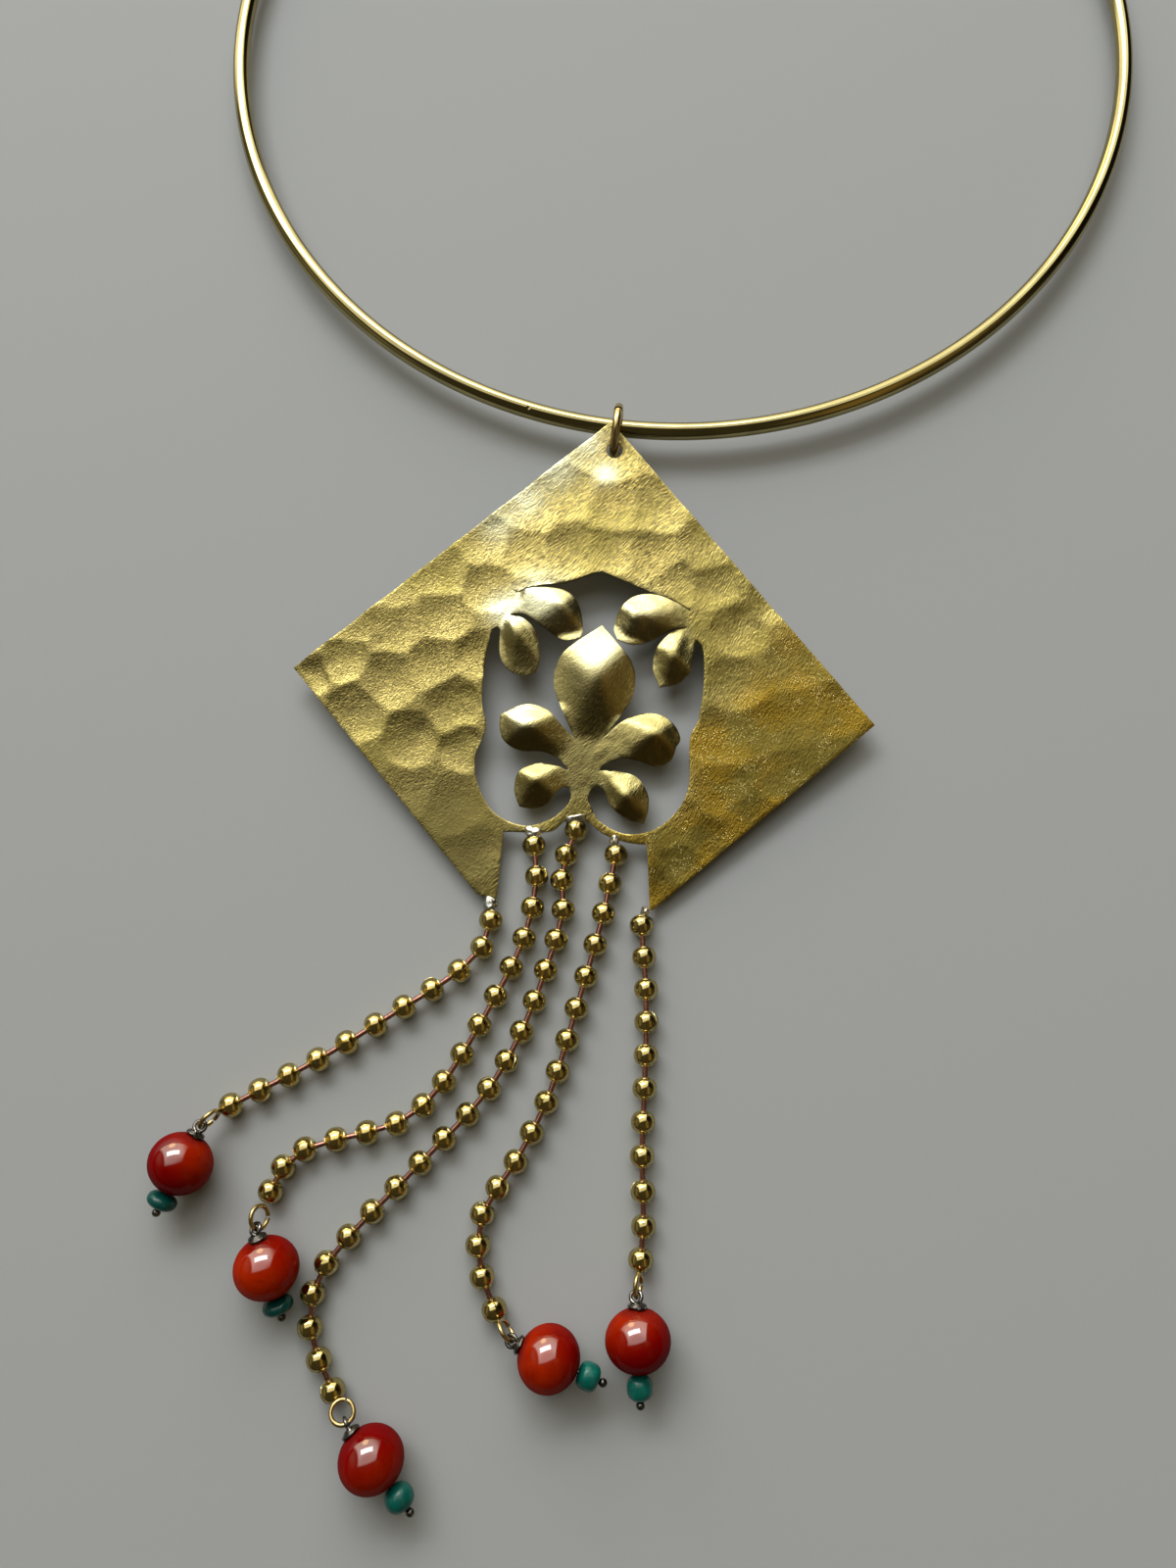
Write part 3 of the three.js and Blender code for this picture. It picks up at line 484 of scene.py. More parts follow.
def sheet_brass(nodes, colours):
    """Hammered sheet: fine strokes lying one way in each part, grit with painted glints, painted shade and
    highlight.
    """
    where = nodes.place()

    def strokes(turn, fineness, slimness):
        """Fine strokes, turned by so many degrees. slimness: how slim they are for their length."""
        fill = {"Vector": where, "Angle": math.radians(turn)}
        turned = nodes.add("ShaderNodeVectorRotate", {"rotation_type": "Z_AXIS"}, fill)
        drawn = nodes.vectors("MULTIPLY", {0: turned, 1: (slimness, 1.0, 0.3)})
        return nodes.noise(drawn, fineness, 1.0, 0.4)

    rising, falling = nodes.stored("rising"), nodes.stored("falling")
    leaf, rubbed = nodes.stored("leaf"), nodes.stored("rubbed")
    lines = strokes(-36, 5.6, 0.42) * rising + strokes(-44, 6.4, 0.19) * falling
    lines = lines + strokes(-62, 6.0, 0.22) * (1 - rising - falling)
    grain = nodes.noise(where, 5.5, 2.0)
    # Specks of grit in clusters on the rubbed parts. Their glints are painted in as a pale colour, and they
    # are raised a little.
    grit = nodes.band(nodes.cells(where, 3.5), 0.10, 0.30, 1.0, 0.0)
    clusters = nodes.band(nodes.noise(where, 0.42, 2.0), 0.47, 0.60)
    glints = grit * clusters * rubbed * (1 - leaf)

    age = nodes.noise(where, 0.12, 4.0, 0.3)
    yellowed = [channel * part for channel, part in zip(colours.sheet, (0.8, 0.8, 0.62))]
    # The third colour is a painted glint.
    amber, straw, painted_glint = (0.36, 0.225, 0.016), (0.25, 0.195, 0.036), (0.98, 0.88, 0.52)
    # The last two colours are painted shade: one for leaf slopes that face away from the lamp, one for the
    # listed patches.
    leaf_brass, leaf_painted_shade, painted_shade_olive = (0.42, 0.38, 0.18), (0.16, 0.115, 0.033), (0.15, 0.13, 0.055)
    hue = nodes.mix(nodes.band(age, 0.35, 0.7), colours.sheet, yellowed)
    plain = (1 - leaf * 0.45) * (1 - nodes.stored("calm") * 0.6)
    scored = nodes.band(lines, 0.54, 0.36) * plain * 0.6 * (1 - rubbed * 0.5)
    hue = nodes.mix(scored, hue, dimmed(colours.sheet, 0.3))
    gold = nodes.mix(nodes.band(age, 0.42, 0.58), amber, straw)
    hue = nodes.mix(rubbed * 0.8, hue, gold)
    # Painted glints: the specks are mixed towards a pale gold.
    hue = nodes.mix(glints * 0.9, hue, painted_glint)
    hue = nodes.mix(leaf * 0.5, hue, leaf_brass)
    # Painted shade on leaf slopes that fall away from the lamp.
    hue = nodes.mix(nodes.stored("lower") * 0.9, hue, leaf_painted_shade)
    # Painted shade in the listed patches, mixed towards a dark olive.
    hue = nodes.mix(nodes.stored("shade") * 0.7, hue, painted_shade_olive)
    spotted = nodes.band(grain, 0.3, 0.65, 0.6, 1.0)
    hue = nodes.mix(nodes.stored("heat") * spotted, hue, colours.heat)
    # A pale greenish film, partly a painted highlight.
    hue = nodes.mix(nodes.stored("pale_film_and_highlight") * spotted, hue, colours.pale_film_and_highlight)

    rough = nodes.band(lines, 0.3, 0.7, 0.28, 0.23) + nodes.band(age, 0.3, 0.7, -0.02, 0.04)
    rough = rough - leaf * 0.03
    creases = nodes.noise(where, 1.1, 3.0, 1.4)
    height = lines * plain * (1 - rubbed * 0.45) * (1 - rising * 0.4) + grain * 0.5
    height = height + creases * plain * 0.9 * (1 - rubbed * 0.3) + glints * 0.5
    nodes.surface(Base_Color=hue, Metallic=1.0, Roughness=rough, Normal=nodes.bump(height, 1.0, 0.065))


def wire_brass(nodes, colours):
    """Brass wire with a dull film in places."""
    where = nodes.place()
    film = nodes.noise(where, 0.9, 3.0, 0.4)
    hue = nodes.mix(nodes.band(film, 0.4, 0.7), colours.wire, dimmed(colours.wire, 0.6))
    rough = nodes.band(film, 0.3, 0.7, 0.14, 0.3)
    nodes.surface(
        Base_Color=hue, Metallic=1.0, Roughness=rough,
        Normal=nodes.bump(nodes.noise(where, 6.0), 0.15, 0.03),
    )


def copper(nodes, colours):
    """Copper-coloured pins, browned where they slide in the balls."""
    where = nodes.place()
    film = nodes.noise(where, 1.6, 2.0)
    hue = nodes.mix(nodes.band(film, 0.4, 0.7), colours.copper, dimmed(colours.copper, 0.65))
    nodes.surface(Base_Color=hue, Metallic=1.0, Roughness=nodes.band(film, 0.3, 0.7, 0.22, 0.36))


def solder(nodes, colours):
    """Solder, bright in some joints and grey with tarnish in others."""
    where = nodes.place()
    film = nodes.noise(where, 1.2, 3.0)
    dull = nodes.stored("tarnish") * nodes.band(film, 0.3, 0.6, 0.6, 1.0)
    grey = (0.16, 0.155, 0.15)
    hue = nodes.mix(nodes.band(film, 0.55, 0.8) * 0.3, colours.solder, colours.sheet)
    hue = nodes.mix(dull, hue, grey)
    nodes.surface(
        Base_Color=hue, Metallic=1.0, Roughness=nodes.band(film, 0.3, 0.7, 0.16, 0.3),
        Normal=nodes.bump(nodes.noise(where, 2.4), 0.4, 0.16),
    )


def dark_wire(nodes, colours):
    """Oxidised silver wire, rubbed bright in spots."""
    where = nodes.place()
    film = nodes.noise(where, 1.8, 2.0)
    bare_silver = (0.42, 0.41, 0.39)
    hue = nodes.mix(nodes.band(film, 0.55, 0.75), colours.dark_wire, bare_silver)
    nodes.surface(Base_Color=hue, Metallic=1.0, Roughness=nodes.band(film, 0.3, 0.7, 0.3, 0.2))


def red_stone(nodes, colours):
    """Polished stone whose orange glow shows through deep red, with painted shade towards the ends of its
    bore.
    """
    where = nodes.place()
    cloud = nodes.noise(where, 0.22, 2.0, 0.8)
    vein = nodes.noise(where, 0.9, 3.0, 1.2)
    glow = nodes.stored("glow") * nodes.band(cloud, 0.25, 0.62, 0.55, 1.0)
    dark_red = (0.10, 0.004, 0.004)
    hue = nodes.mix(glow, colours.red, colours.orange)
    hue = nodes.mix(nodes.band(vein, 0.5, 0.78) * 0.3, hue, dimmed(colours.red, 0.45))
    # Painted shade towards the ends of the bore, mixed with each bead's own darkness.
    hue = nodes.mix(nodes.stored("shade") * 0.8, hue, dark_red)
    nodes.surface(
        Base_Color=hue, Roughness=nodes.band(vein, 0.3, 0.8, 0.06, 0.12), Specular_IOR_Level=0.0,
        Coat_Weight=nodes.stored("polish"), Coat_Roughness=0.05, Coat_IOR=1.95,
        Normal=nodes.bump(cloud, 0.06, 0.2),
    )


def green_stone(nodes, colours):
    """Satin teal glass, a little uneven."""
    where = nodes.place()
    cloud = nodes.noise(where, 0.9, 3.0, 0.4)
    light_teal, deep_teal = (0.001, 0.13, 0.10), (0.001, 0.03, 0.028)
    hue = nodes.mix(nodes.stored("pale"), colours.green, light_teal)
    hue = nodes.mix(nodes.band(cloud, 0.35, 0.7) * 0.45, hue, deep_teal)
    nodes.surface(
        Base_Color=hue, Roughness=nodes.band(cloud, 0.3, 0.7, 0.22, 0.32), IOR=1.42,
        Normal=nodes.bump(nodes.noise(where, 2.2), 0.25, 0.1),
    )


def plain_floor(nodes, colours):
    """Matt board."""
    nodes.surface(Base_Color=colours.floor, Roughness=0.85)


# ---- shapes ---------------------------------------------------------------------------------------


def packed_shift():
    """From the plate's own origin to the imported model's frame, in metres, by the jump ring."""
    low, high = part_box("jump_ring")
    return (low + high) / 2 - JUMP_CENTRE * MM


class Shape:
    """Points and faces of one piece in millimetres, with the numbers kept at its points."""

    def __init__(self):
        self.points = []
        self.faces = []
        self.kept = {}

    def add(self, points, faces, **kept):
        """More points and faces, with any numbers to keep for each new point, under their names."""
        start = len(self.points)
        self.points += [Vector(point) for point in points]
        self.faces += [[start + corner for corner in face] for face in faces]
        for name, values in kept.items():
            self.kept.setdefault(name, []).extend(values)

    def add_rings(self, rings, closed=False, **kept):
        """A skin over rings of points, open or closed along its length, with flat ends if open."""
        count, sides = len(rings), len(rings[0])
        faces = []
        for row in range(count if closed else count - 1):
            here, there = row * sides, (row + 1) % count * sides
            for i in range(sides):
                j = (i + 1) % sides
                faces.append([here + i, here + j, there + j, there + i])
        if not closed:
            faces.append(list(range(sides))[::-1])
            faces.append(list(range((count - 1) * sides, count * sides)))
        self.add([point for ring in rings for point in ring], faces, **kept)

    def add_wire(self, path, thickness, sides, up=None, **kept):
        """A round wire along a path. up keeps it from twisting on a loop that lies in a plane."""
        rings = [
            [middle + (side * math.cos(turn) + rise * math.sin(turn)) * thickness / 2
             for turn in turns(sides)]
            for middle, side, rise in across(path, up)
        ]
        self.add_rings(rings, **kept)

    def add_turned(self, profile, sides, where, seam=0.0):
        """A turned form round the Y axis, from its (radius, along) profile, which is closed from its last
        point to its first. seam: how deep a groove along its side is, as a part of its radius."""
        spread = turns(sides)
        if seam:
            plain = 2 * (math.pi - SEAM_TURN)
            spread = [0, *(SEAM_TURN + plain * i / (sides - 2) for i in range(sides - 1))]
        outward = [
            Vector((math.cos(turn), 0, -math.sin(turn))) * (1 if turn else 1 - seam) for turn in spread
        ]
        rings = [
            [where @ (out * radius + Vector((0, along, 0))) for out in outward]
            for radius, along in profile
        ]
        self.add_rings(rings, closed=True)

    def piece(self, name, finish, slot, nodes, sharp=50):
        """The finished object, riding on the choker in place of its CAD nodes."""
        mesh = bpy.data.meshes.new(name)
        shift = packed_shift()
        mesh.from_pydata([point * MM + shift for point in self.points], [], self.faces)
        mesh.validate()
        mesh.shade_smooth()
        mesh.set_sharp_from_angle(angle=math.radians(sharp))
        for key, values in self.kept.items():
            mesh.attributes.new(key, "FLOAT", "POINT").data.foreach_set("value", values)
        mesh.materials.append(material(finish))
        made = bpy.data.objects.new(name, mesh)
        bpy.context.scene.collection.objects.link(made)
        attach(made, "root")
        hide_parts(*nodes)


def turns(sides):
    """Evenly spaced angles round a circle."""
    return [2 * math.pi * i / sides for i in range(sides)]


def across(path, up):
    """Each point of a path, with two directions square to it."""
    side = None
    for i, middle in enumerate(path):
        way = (path[min(i + 1, len(path) - 1)] - path[max(i - 1, 0)]).normalized()
        if up is not None:
            side = way.cross(up)
        elif side is None:
            side = way.orthogonal()
        side = (side - way * side.dot(way)).normalized()
        yield middle, side, side.cross(way)


def smooth_line(points, step, ends=True):
    """Points at about the given step along a smooth curve through the points given, with its last point
    or without it."""
    points = [Vector(point) for point in points]
    padded = [points[0], *points, points[-1]]
    line = []
    for a, b, c, d in zip(padded, padded[1:], padded[2:], padded[3:]):
        count = max(1, round((c - b).length / step))
        for t in (k / count for k in range(count)):
            line.append((2 * b + (c - a) * t + (2 * a - 5 * b + 4 * c - d) * t * t
                         + (3 * b - a - 3 * c + d) * t * t * t) / 2)
    return line + [points[-1]] if ends else line


def basis(x, y, z, at):
    """The matrix that turns X, Y and Z to the directions given and moves the origin."""
    turned = Matrix((x, y, z)).transposed().to_4x4()
    return Matrix.Translation(at) @ turned


def lying(way, at):
    """The frame of something that lies along a direction, which becomes its +Y."""
    side = way.cross(UP).normalized()
    return basis(side, way, side.cross(way), at)


def round_profile(radius, steps):
    """The (radius, along) profile of a plain ball, whose bore is too fine to be seen."""
    way = math.pi / steps
    outline = [(radius * math.sin(way * max(i, 0.04)), -radius * math.cos(way * i)) for i in range(steps)]
    return [*outline, (0.02 * radius, radius)]


def bead_profile(diameter, span, fullness, steps):
    """The (radius, along) profile of a bored bead. A fullness of 2 is round, and more is squarer."""
    power = 2 / fullness
    last = math.acos((BEAD_BORE / diameter) ** (1 / power))
    pole = span / 2 / math.sin(last) ** power
    outline = []
    for i in range(steps + 1):
        turn = last * (2 * i / steps - 1)
        out = diameter / 2 * math.cos(turn) ** power
        outline.append((out, pole * math.copysign(abs(math.sin(turn)) ** power, turn)))
    narrowed, inward = BEAD_BORE / 2 - 0.07, span / 2 - 0.12
    return [*outline, (narrowed, inward), (narrowed, -inward)]


def loop(centre, axis, radius, steps, first, start, sweep):
    """Points on an open circle round an axis, from the angle start, which is counted from first."""
    a = first.normalized()
    b = axis.cross(a)
    spread = (start + sweep * i / steps for i in range(steps))
    return [centre + (a * math.cos(turn) + b * math.sin(turn)) * radius for turn in spread]


def direction(heading, fall):
    """A direction from its heading, counted from +X, and how far it falls, in degrees."""
    heading, fall = math.radians(heading), math.radians(fall)
    level = math.cos(fall)
    return Vector((level * math.cos(heading), level * math.sin(heading), -math.sin(fall)))


def neck_point(turn):
    """A point of the neck ring's middle line."""
    along, wide = RING_HALF_LONG * math.cos(turn), RING_HALF_SHORT * math.sin(turn)
    x = RING_CENTRE.x + along * math.cos(RING_TURN) - wide * math.sin(RING_TURN)
    y = RING_CENTRE.y + along * math.sin(RING_TURN) + wide * math.cos(RING_TURN)
    back = RING_CENTRE.y + RING_HALF_SHORT * math.cos(RING_TURN)
    fall = (CLASP_HEIGHT - RING_FRONT[1]) / (back - RING_FRONT[0])
    return Vector((x, y, RING_FRONT[1] + fall * (y - RING_FRONT[0])))


# ---- the plate ------------------------------------------------------------------------------------


def closed_line(stretches, step):
    """Points round an outline, at about the given step. A gap between two stretches is closed straight."""
    line = []
    for stretch in stretches:
        if line and (line[-1] - Vector(stretch[0])).length > step:
            line += smooth_line([line[-1], stretch[0]], step, ends=False)[1:]
        line += smooth_line(stretch, step, ends=False)
    return line


def inside(points, line):
    """Which of the points lie inside a closed line."""
    x, y = points[:, 0], points[:, 1]
    odd = np.zeros(len(points), bool)
    for a, b in zip(line, line[1:] + line[:1]):
        if a.y != b.y:
            crossing = (y < a.y) != (y < b.y)
            odd ^= crossing & (x < a.x + (y - a.y) * (b.x - a.x) / (b.y - a.y))
    return odd


def pressed(points):
    """How far the leaves are pressed up at each point, and how crumpled they are there."""
    height, crumple = np.zeros(len(points)), np.zeros(len(points))
    for apex, peak, dents, facets in LEAF_CROWNS:
        offset = points - np.array(apex)
        falls = 0
        for heading, reach in facets:
            way = math.radians(heading)
            fall = offset @ np.array((math.cos(way), math.sin(way)))
            falls = falls + np.exp(np.clip(FACET_SHARPNESS * fall / reach, -40, 40))
        part = 1 - np.log(falls) / FACET_SHARPNESS
        rise = peak * (0.5 * (part + np.sqrt(part * part + FOOT_SOFTNESS))) ** CROWN_HOLLOW
        crumple = np.where(rise > height, dents, crumple)
        height = np.maximum(height, rise)
    return height, crumple


def hammered(points):
    """How deep the hammer marks are at each point."""
    depth = np.zeros(len(points))
    for x, y, radius, deep in HAMMER_MARKS:
        apart = ((points - np.array((x, y))) ** 2).sum(1) / radius ** 2
        depth = np.minimum(depth, deep * (apart - 1))
    return depth


def wavy(points, scale, layer):
    """A smooth uneven number at each point, with waves about as wide as scale."""
    return np.array([noise.noise(Vector((x / scale, y / scale, layer))) for x, y in points])


def drifted(points, scale, layers, reach):
    """The points moved about unevenly, each way by its own layer of waves."""
    return points + np.stack([wavy(points, scale, layer) for layer in layers], 1) * reach


def stain(points, kind):
    """How strong one kind of stain is at each point."""
    film = sum(
        strength * np.exp(-((points - np.array((x, y))) ** 2).sum(1) / radius ** 2)
        for x, y, radius, strength in STAINS[kind]
    )
    return np.clip(film, 0, 1)


def smoothstep(value, low, high):
    """From 0 at low to 1 at high, with soft ends."""
    part = np.clip((value - low) / (high - low), 0, 1)
    return part * part * (3 - 2 * part)


class PlatePattern:
    """The plate's outlines, and what is metal between them."""

    def __init__(self, step):
        self.edge = closed_line(PLATE_EDGE, step)
        self.window = closed_line(WINDOW_EDGE, step)
        self.hole = [
            Vector(HOLE_CENTRE) + Vector((math.cos(turn), math.sin(turn))) * HOLE_RADIUS
            for turn in turns(40)
        ]
        self.leaves = [closed_line(table, step) for table in (LEFT_LEAVES, RIGHT_LEAVES, SPRAY)]

    def lines(self):
        return [self.edge, self.window, self.hole, *self.leaves]

    def in_window(self, points):
        return inside(points, self.window)

    def in_leaf(self, points):
        return np.any([inside(points, line) for line in self.leaves], axis=0)

    def is_metal(self, points):
        sheet = inside(points, self.edge) & ~self.in_window(points) & ~inside(points, self.hole)
        return sheet | self.in_leaf(points)

    def roots(self):
        """Points of the window's line where leaves grow out of the sheet."""
        window = np.array(self.window)
        return window[self.in_leaf(window)]


def distance_to(points, targets):
    """How far each point is from the nearest target."""
    tree = KDTree(len(targets))
    for i, (x, y) in enumerate(targets):
        tree.insert((x, y, 0), i)
    tree.balance()
    return np.array([tree.find((x, y, 0))[2] for x, y in points])


def plate_mesh(pitch):
    """The pattern and its flat triangles: points, faces, and the edges with metal on one side only."""
    pattern = PlatePattern(pitch * 0.7)
    corners, edges, rim = [], [], []
    for line in pattern.lines():
        start = len(corners)
        edges += [(start + i, start + (i + 1) % len(line)) for i in range(len(line))]
        corners += line
        for a, b in zip(line, line[1:] + line[:1]):
            way = (b - a).normalized() * RIM_INSET
            rim += [(a + b) / 2 + Vector((-way.y, way.x)), (a + b) / 2 + Vector((way.y, -way.x))]

    low, high = np.min(np.array(pattern.edge), 0), np.max(np.array(pattern.edge), 0)
    row = pitch * math.sqrt(3) / 2
    grid = [
        (low[0] + (i + 0.5 * (j % 2)) * pitch, low[1] + j * row)
        for j in range(int((high[1] - low[1]) / row) + 1)
        for i in range(int((high[0] - low[0]) / pitch) + 1)
    ]
    rim, grid = np.array(rim), np.array(grid)
    rim = rim[pattern.is_metal(rim)]
    rim = rim[distance_to(rim, corners) > RIM_CLEAR]
    grid = grid[pattern.is_metal(grid)]
    grid = grid[distance_to(grid, [*corners, *rim]) > pitch * 0.45]

    flat = [*corners, *(Vector(point) for point in np.concatenate([rim, grid]))]
    points, _, faces, *_ = delaunay_2d_cdt(flat, edges, [], 0, 1e-5)
    points = np.array(points)
    faces = np.array([face for face in faces if len(face) == 3])
    faces = faces[pattern.is_metal(points[faces].mean(1))]
    used, faces = np.unique(faces, return_inverse=True)
    points, faces = points[used], faces.reshape(-1, 3)

    sides = dict.fromkeys(pair for a, b, c in faces.tolist() for pair in ((a, b), (b, c), (c, a)))
    border = [pair for pair in sides if (pair[1], pair[0]) not in sides]
    return pattern, points, faces, border


def plate_sheet(pitch):
    """The hammered sheet with its leaves, as a closed shape."""
    pattern, points, faces, border = plate_mesh(pitch)
    from_root = smoothstep(distance_to(points, pattern.roots()), 0.0, LEAF_ROOT)
    leaf = np.where(pattern.in_window(points), from_root, 0.0)
    rise, crumple = pressed(points)
    rise *= leaf
    pucker = crumple * (wavy(points, 1.5, 3.0) * 0.07 + wavy(points, 0.8, 9.0) * 0.035)
    sway = wavy(points, 14.0, 5.0) * 0.12 + wavy(points, 3.2, 1.0) * 0.025
    drift = drifted(points, 9.0, (2.0, 4.0), 7.0)
    rubbed = smoothstep(drift[:, 0] * 0.8 - drift[:, 1] * 0.7, 3.0, 13.0)
    rising = smoothstep(-drift[:, 0], 8.0, 16.0)
    falling = (1 - rising) * smoothstep(drift[:, 1] * 0.5 - drift[:, 0], -6.0, 4.0)
    marks = hammered(drifted(points, 2.6, (7.0, 8.0), 0.55)) * (2.3 - 0.9 * rubbed) * (1 - leaf)
    top = PLATE_THICK / 2 + rise + leaf * pucker + marks + sway
    bottom = -PLATE_THICK / 2 + rise + marks * 0.3 + sway
    rim = np.unique(border)
    top[rim] -= RIM_ROUNDING
    bottom[rim] += RIM_ROUNDING

    tilt = Matrix.Translation((0, 0, PLATE_LIFT)) @ Matrix.Rotation(PLATE_TILT, 4, "X")
    count = len(points)
    skin = [tilt @ Vector((x, y, z)) for side in (top, bottom) for (x, y), z in zip(points, side)]
    covers = faces.tolist() + (faces[:, ::-1] + count).tolist()
    walls = [[a + count, b + count, b, a] for a, b in border]
    slope = pressed(points + (0, 0.2))[0] - pressed(points - (0, 0.2))[0]
    kept = {
        "leaf": leaf,
        "rising": rising,
        "falling": falling,
        "calm": rising * smoothstep(-drift[:, 1], -5.0, 5.0),
        # Painted shade: how steeply a leaf falls away towards -Y, from the lamp.
        "lower": leaf * smoothstep(slope, 0.01, 0.10),
        "rubbed": rubbed,
        **{kind: stain(points, kind) for kind in STAINS},
    }
    shape = Shape()
    shape.add(skin, covers + walls, **{key: np.tile(values, 2) for key, values in kept.items()})
    return shape


# ---- balls and drops ------------------------------------------------------------------------------


def ball_profile(diameter):
    """A stamped hollow ball: a full barrel cut flat at both ends, with a turned lip round each hole."""
    radius = diameter / 2
    lip = [
        (0.24, 0.80), (0.25, 0.88), (0.30, 0.91), (0.36, 0.875), (0.40, 0.835), (0.52, 0.835),
        (0.585, 0.82),
    ]
    shoulder, tallness, roundness, steps = math.radians(60), 0.88, (0.76, 0.94), 24
    outline = [(radius * wide, radius * along) for wide, along in lip]
    for i in range(steps + 1):
        turn = shoulder * (1 - 2 * i / steps)
        along = tallness * math.copysign(abs(math.sin(turn)) ** roundness[1], turn)
        outline.append((radius * math.cos(turn) ** roundness[0], radius * along))
    return outline[::-1] + [(wide, -along) for wide, along in outline]


def chain_spots(row, ball):
    """Middles of a chain's balls, on a smooth curve through those given, and its direction at each."""
    places = [Vector((x, y, ball / 2)) for _, x, y in row]
    spans = [after[0] - before[0] for before, after in zip(row, row[1:])]
    rates = [(b - a) / span for a, b, span in zip(places, places[1:], spans)]
    slopes = [rates[0], *((a + b) / 2 for a, b in zip(rates, rates[1:])), rates[-1]]
    spots = []
    for i, span in enumerate(spans):
        for t in (k / span for k in range(span)):
            spots.append(
                places[i].lerp(places[i + 1], t * t * (3 - 2 * t))
                + (slopes[i] * (1 - t) - slopes[i + 1] * t) * t * (1 - t) * span
            )
    spots.append(places[-1])
    ways = [(b - a).normalized() for a, b in zip([spots[0], *spots], [*spots[1:], spots[-1]])]
    return spots, ways


def add_ball(shape, spot, way, diameter, roll):
    """A ball of a chain that runs the given way. roll: how far it is turned round its pins."""
    where = lying(way, spot) @ Matrix.Rotation(roll, 4, "Y")
    shape.add_turned(ball_profile(diameter), sides=40, where=where, seam=SEAM_DEPTH)


def drops(sizes):
    """Each drop's number, its row, and its beads' own frame, with +Y from the pin's head to its eye."""
    for number, row in enumerate(DROPS, 1):
        middle = Vector((*row["at"], sizes.red_bead / 2))
        yield number, row, lying(-direction(row["heading"], row["dip"]), middle)


def link_frame(row, beads):
    """Middle and axis of a drop's link ring, and the axis of the eye that hangs in it."""
    heading, fall, roll = row["link"]
    away = direction(heading, fall)
    axis = Matrix.Rotation(math.radians(roll), 3, away) @ direction(heading, fall - 90)
    return beads @ EYE_MIDDLE + away * LINK_RADIUS, axis, away.cross(axis)


def head_pin_path(head, wire, eye_axis):
    """The wire from its head through the beads, round its eye, and in a flat coil round its own neck."""
    shank = [Vector((0, along, 0)) for along in (head, *PIN_SHANK)]
    first = shank[-1] - EYE_MIDDLE
    first -= eye_axis * first.dot(eye_axis)
    ring = loop(
        EYE_MIDDLE, eye_axis, EYE_RADIUS, steps=24, first=first, start=math.radians(28),
        sweep=math.radians(310),
    )
    start = math.atan2(ring[-1].z, ring[-1].x)
    coil = []
    for i in range(COIL_POINTS):
        part = i / (COIL_POINTS - 1)
        turn, out = start + part * COIL_TURN, wire * (1.05 + 1.15 * part)
        coil.append(Vector((math.cos(turn) * out, COIL_TOP - COIL_DROP * part, math.sin(turn) * out)))
    return smooth_line([*shank, *ring, *coil], step=0.12)


# ---- operators ------------------------------------------------------------------------------------


class CHOKER_OT_neck_ring(bpy.types.Operator):
    """Bend the gilt rod to its loop and close it with a plain sleeve at the back"""

    bl_idname = "choker.neck_ring"
    bl_label = "Neck Ring"

    def execute(self, context):
        sizes = millimetres(context)
        count, sides = 480, 24
        gap = ROD_END_GAP / RING_HALF_LONG
        path = [
            neck_point(math.pi / 2 + gap + 2 * (math.pi - gap) * i / count) for i in range(count + 1)
        ]
        lengthwise, crosswise = path[0] - neck_point(-math.pi / 2), neck_point(0) - neck_point(math.pi)
        reach = np.concatenate([[0], np.cumsum([(b - a).length for a, b in zip(path, path[1:])])])
        rod = Shape()
        rod.add_wire(
            path, sizes.ring_wire, sides, up=lengthwise.cross(crosswise).normalized(),
            along=np.repeat(reach, sides), around=np.tile(np.abs(np.linspace(-1, 1, sides)), count + 1),
        )
        rod.piece("neck_ring_rod", gilt_rod, "gilt", ["neck_ring"])

        radius, half = sizes.clasp_across / 2, sizes.clasp_length / 2
        edge, collar, waist, wall = 0.2, 0.7, 0.12, 0.55
        end = [
            (radius - wall, half), (radius - edge, half), (radius, half - edge), (radius, half - collar),
            (radius - waist, half - collar - waist),
        ]
        outline = [(out, -along) for out, along in end] + end[::-1]
        way = Vector((math.cos(RING_TURN), math.sin(RING_TURN), 0))
        sleeve = Shape()
        sleeve.add_turned(outline, sides=48, where=lying(way, neck_point(math.pi / 2)))
        sleeve.piece("clasp_sleeve", gilt, "gilt", ["barrel_clasp"], sharp=35)
        return {"FINISHED"}


class CHOKER_OT_jump_ring(bpy.types.Operator):
    """Close the upright ring through the plate's hole and round the neck ring"""

    bl_idname = "choker.jump_ring"
    bl_label = "Jump Ring"

    def execute(self, context):
        sizes = millimetres(context)
        axis = Vector((math.cos(JUMP_TURN), -math.sin(JUMP_TURN), 0))
        radius = (sizes.jump_outer - sizes.jump_wire) / 2
        path = loop(
            JUMP_CENTRE, axis, radius, steps=119, first=UP, start=math.radians(-28),
            sweep=math.radians(357),
        )
        ring = Shape()
        ring.add_wire(path, sizes.jump_wire, sides=20, up=axis)
        ring.piece("jump_ring_wire", wire_brass, "wire_brass", ["jump_ring"])
        return {"FINISHED"}


class CHOKER_OT_plate(bpy.types.Operator):
    """Cut the plate and its leaves from sheet, and hammer it"""

    bl_idname = "choker.plate"
    bl_label = "Plate"

    def execute(self, context):
        sheet = plate_sheet(millimetres(context).mesh_pitch)
        sheet.piece("plate_sheet", sheet_brass, "sheet_brass", ["pendant_plate"], sharp=60)
        return {"FINISHED"}


